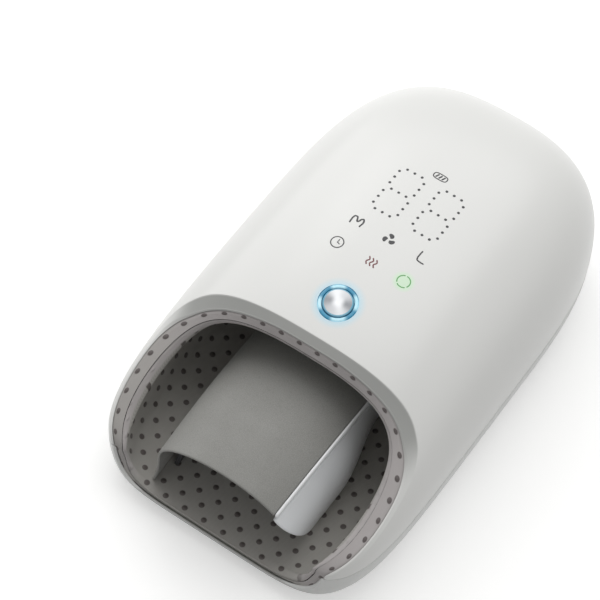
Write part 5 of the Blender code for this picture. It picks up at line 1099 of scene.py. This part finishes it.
def stroke(x, y, width):
    """A line with round ends: its two sides are offset along the normal, and the ends are half circles."""
    line = np.stack([x, y], -1).astype(float)
    way = np.gradient(line, axis=0)
    way /= np.linalg.norm(way, axis=1, keepdims=True)
    turn = np.linspace(0, pi / 2, 4)[:-1]
    out, half = width / 2 * np.cos(turn), width / 2
    middle = np.concatenate([line[0] - np.outer(out, way[0]), line, line[-1] + np.outer(out[::-1], way[-1])])
    reach = np.concatenate([np.sin(turn), np.ones(len(line)), np.sin(turn[::-1])]) * half
    ways = np.concatenate([way[[0] * len(turn)], way, way[[-1] * len(turn)]])
    sides = np.stack([-ways[:, 1], ways[:, 0]], -1) * reach[:, None]
    rows = [on_shell(*(middle + sides * share).T, rise)
            for share, rise in ((-1, -MARK_ROOT), (-1, MARK_RISE * 0.5), (-0.85, MARK_RISE), (0, MARK_RISE),
                                (0.85, MARK_RISE), (1, MARK_RISE * 0.5), (1, -MARK_ROOT))]
    return sheet_part(np.stack(rows + rows[:1]), closed=False)


def arc(x, y, radius, start, end, width, count=20):
    turn = np.radians(np.linspace(start, end, count))
    return stroke(x + radius * np.cos(turn), y + radius * np.sin(turn), width)


def curve(points, count):
    """A smooth curve through points: cubic pieces along their chord length that share their slopes."""
    points = np.asarray(points)
    length = way_along(points)
    fine = np.linspace(0, length[-1], count)
    slope = np.gradient(points, length, axis=0)
    index = np.clip(np.searchsorted(length, fine, side="right") - 1, 0, len(points) - 2)
    span = (length[index + 1] - length[index])[:, None]
    share = (fine - length[index])[:, None] / span
    return ((2 * share ** 3 - 3 * share ** 2 + 1) * points[index]
            + (share ** 3 - 2 * share ** 2 + share) * slope[index] * span
            + (3 * share ** 2 - 2 * share ** 3) * points[index + 1]
            + (share ** 3 - share ** 2) * slope[index + 1] * span).T


def digit(middle_x, middle_y):
    """A figure of seven bars, each three dots, on the outline and the waist of an upright rectangle."""
    half_width, half_height = DIGIT_SIZE[0] / 2, DIGIT_SIZE[1] / 2
    dots = [(x, row * half_height) for row in (-1, 0, 1) for x in ROW_DOTS]
    dots += [(column * half_width, half * half_height / 2 + y) for column in (-1, 1) for half in (-1, 1)
             for y in COLUMN_DOTS]
    return [disc(middle_x + x, middle_y + y, DIGIT_DOT) for x, y in dots]


def clock_sign(x, y):
    """A dial with two hands."""
    hands = [stroke([x + 0.0001, x + 0.0002], [y, y + 0.0016], 0.00044),
             stroke([x + 0.0001, x + 0.0013], [y, y - 0.0004], 0.00044)]
    return [arc(x, y, 0.0028, 0, 358, 0.00052, 48)] + hands


def fan_sign(x, y):
    """Three curled blades round a hub, each an oval bent round the hub's middle."""
    share = np.linspace(0, 2 * pi, 24, endpoint=False)
    reach = 0.0018 + 0.0012 * np.cos(share)
    leans = [math.radians(turn) + 0.66 * np.sin(share) + 0.24 * np.cos(share) for turn in (84, 204, 330)]
    return [patch(x + reach * np.cos(lean), y + reach * np.sin(lean)) for lean in leans]


def charge_sign(x, y):
    """Rounded outline of a cell with three slanting bars."""
    turn = np.linspace(0, 2 * pi, 49)[:-1]
    turn = np.append(turn, turn[0])
    outline = stroke(x + 0.0033 * superpower(np.cos(turn), 0.55), y + 0.0016 * superpower(np.sin(turn), 0.7),
                     0.00052)
    bars = [stroke([x + shift - 0.0003, x + shift + 0.0003], [y - 0.0007, y + 0.0007], 0.00075)
            for shift in (-0.0016, 0, 0.0016)]
    return [outline] + bars


def build_marks():
    """Dotted figures, charge sign, key letters and signs, as thin inlays that follow the shell."""
    middle_x, middle_y = DIGIT_MIDDLE
    dark = digit(middle_x - DIGIT_SPREAD, middle_y) + digit(middle_x + DIGIT_SPREAD, middle_y)
    dark += clock_sign(*SIGN_CLOCK) + fan_sign(*SIGN_FAN) + charge_sign(*SIGN_CHARGE)
    dark += [stroke(*curve(KEY_M, 56), 0.00076), stroke(*curve(KEY_L, 30), 0.00066)]
    piece("display_marks", dark, "ink", sharp=30)
    along = np.linspace(-0.0019, 0.0019, 18)
    waves = [stroke(x + 0.00040 * np.sin(along * 2100), WAVES_Y + along, 0.00062) for x in WAVES_X]
    piece("heat_mark", waves, "red_ink", sharp=30)
    arcs = [arc(*SIGN_CYCLE, 0.0029, start, end, 0.00050) for start, end in ((110, 214), (236, 308), (332, 448))]
    piece("cycle_mark", arcs, "green_ink", sharp=30)


# Feet, port and hidden works


def build_feet():
    """Rubber foot: rounded rim, flat tread with three shallow rings, and a smaller neck in its seat."""
    tread = [(0, 0)]
    for ring in TREAD_RINGS:
        tread += [(ring - 0.0003, 0), (ring - 0.00015, 0.00025), (ring + 0.00015, 0.00025), (ring + 0.0003, 0)]
    turn = np.linspace(0, pi / 2, 5)
    tread += zip(FOOT_RADIUS - FOOT_ROUND * (1 - np.sin(turn)), FOOT_ROUND * (1 - np.cos(turn)))
    for number, (x, y, seat) in enumerate(FOOT_PLACES, 1):
        top = seat - GAP
        profile = tread + [(FOOT_RADIUS, top - 0.0002), (FOOT_RADIUS - 0.0002, top), (0, top)]
        piece(f"foot_pad_{number}", [lathe(profile, 48, (x, y, 0))], "rubber", f"rubber_foot_{number}")


def softened(node, name, finish, width, segments=2):
    """A copy of a CAD node whose triangles are merged into flat faces and whose edges are rounded."""
    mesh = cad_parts[node].data.copy()
    mesh.name = name
    work = bmesh.new()
    work.from_mesh(mesh)
    bmesh.ops.remove_doubles(work, verts=work.verts, dist=1e-6)
    bmesh.ops.dissolve_limit(work, angle_limit=math.radians(1), verts=work.verts, edges=work.edges)
    work.to_mesh(mesh)
    work.free()
    made = placed(name, mesh)
    edge = made.modifiers.new("rounded", "BEVEL")
    edge.width, edge.segments = width, segments
    edge.limit_method, edge.angle_limit = "ANGLE", math.radians(35)
    bake(made)
    dress(made, finish, "housing", [node])


def build_underside():
    softened("base_plinth", "plinth_plate", "base", 0.0004, 3)
    softened("charge_port", "charging_socket", "dark", 0.0002)


def build_valve_springs():
    """Wire springs round the valves' stems: a helix of a round wire, as wide and as tall as each spring's CAD box.
    """
    turn = np.linspace(0, 2 * pi * SPRING_TURNS, 130)
    around = np.linspace(0, 2 * pi, 10, endpoint=False)[:, None]
    out = np.stack([np.cos(turn), np.sin(turn), 0 * turn], -1)[:, None]
    size = np.full((len(turn), 1, 1), SPRING_WIRE)
    size[[0, -1]] = 0
    wire = size * (out * np.cos(around) + np.array((0, 0, 1)) * np.sin(around))
    for number in (1, 2, 3):
        low, high = (np.array(corner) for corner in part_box(f"valve_spring_{number}"))
        centre, reach, height = (low + high) / 2, (high[0] - low[0]) / 2 - SPRING_WIRE, high[2] - low[2]
        line = out[:, 0] * reach + (centre[0], centre[1], low[2] + SPRING_WIRE)
        line[:, 2] += (height - 2 * SPRING_WIRE) * turn / turn[-1]
        spring = piece(f"valve_coil_{number}", [sheet_part(line[:, None] + wire)], "steel",
                       f"valve_spring_{number}")
        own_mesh(spring)


def dress_nodes():
    """Finishes of the CAD nodes that keep their own shape."""
    for finish, families in KEPT_NODES.items():
        for name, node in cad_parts.items():
            if name.rstrip("_0123456789") in families.split():
                node.data.materials.clear()
                node.data.materials.append(FINISHES[finish][0])


# Studio


def build_camera():
    """The photograph's viewing angle: aim, distance, azimuth, elevation and roll of a long lens."""
    aim, distance = Vector((-0.02758, -0.01449, 0.03784)), 1.0042
    azimuth, elevation, roll = math.radians(30.49), math.radians(56.08), math.radians(4.76)
    back = Vector((math.sin(azimuth) * math.cos(elevation), -math.cos(azimuth) * math.cos(elevation),
                   math.sin(elevation)))
    level = Vector((math.cos(azimuth), math.sin(azimuth), 0))
    upright = back.cross(level)
    across = level * math.cos(roll) + upright * math.sin(roll)
    up = upright * math.cos(roll) - level * math.sin(roll)
    data = bpy.data.cameras.new("camera")
    data.lens, data.sensor_width = 137.46, 36.0
    data.clip_start, data.clip_end = 0.05, 20.0
    camera = placed("camera", data)
    turned = Matrix((across, up, back)).transposed().to_4x4()
    camera.matrix_world = Matrix.Translation(aim + back * distance) @ turned
    bpy.context.scene.camera = camera


def lamp(name, way, distance, size, share):
    """A soft square lamp towards which a white surface would show the share as its brightness."""
    data = bpy.data.lights.new(name, "AREA")
    data.shape, data.size = "SQUARE", size
    data.energy = share * math.pi ** 2 * distance ** 2
    made, direction = placed(name, data), Vector(way).normalized()
    made.location = direction * distance
    made.rotation_mode = "QUATERNION"
    made.rotation_quaternion = direction.to_track_quat("Z", "Y")


def seen_directly(finish):
    """1 for rays from the camera, in a mirror or through glass, and 0 for light that falls on the object."""
    path = finish.node("ShaderNodeLightPath").socket.node
    camera, glossy, through = (Link(finish, path.outputs[f"Is {kind} Ray"])
                               for kind in ("Camera", "Glossy", "Transmission"))
    return camera.math("MAXIMUM", glossy).math("MAXIMUM", through)


def build_studio():
    lamp("key_over_back", (-0.15, 0.50, 1.0), 1.3, 1.3, 0.45)
    lamp("left_window", (-1.0, 0.35, 0.75), 1.3, 1.2, 0.36)
    lamp("right_window", (1.0, 0.25, 0.45), 1.4, 1.2, 0.10)
    air = Finish("studio", "worlds", "Background", Color=(1.0, 1.0, 0.995, 1))
    bpy.context.scene.world = air.put(Strength=seen_directly(air).ramp(0, 1, 0.44, 1.0, "LINEAR"))
    paper = Finish("studio_floor", Roughness=0.9, Emission_Strength=0.38)
    white = tint(paper.noise(6), (0.785, 0.785, 0.78), (0.80, 0.80, 0.795))
    seen = seen_directly(paper)
    paper.put(Base_Color=tint(seen, (0.42, 0.42, 0.42), white),
              Emission_Color=tint(seen, (0.0, 0.0, 0.0), (1.0, 1.0, 0.995)))
    mesh = bpy.data.meshes.new("studio_floor")
    mesh.from_pydata([(-3, -3, 0), (3, -3, 0), (3, 3, 0), (-3, 3, 0)], [], [(0, 1, 2, 3)])
    mesh.materials.append(paper.owner)
    floor = placed("studio_floor", mesh)
    bpy.context.scene.view_settings.view_transform = "Standard"


for build in (build_camera, build_top_shell, build_base_shell, build_bezel, build_lining, build_rim_foam,
              build_chamber_soft_parts, build_palm_rest, build_bead, build_cheek, build_button, build_marks,
              build_feet, build_underside, build_valve_springs, dress_nodes, build_studio):
    build()
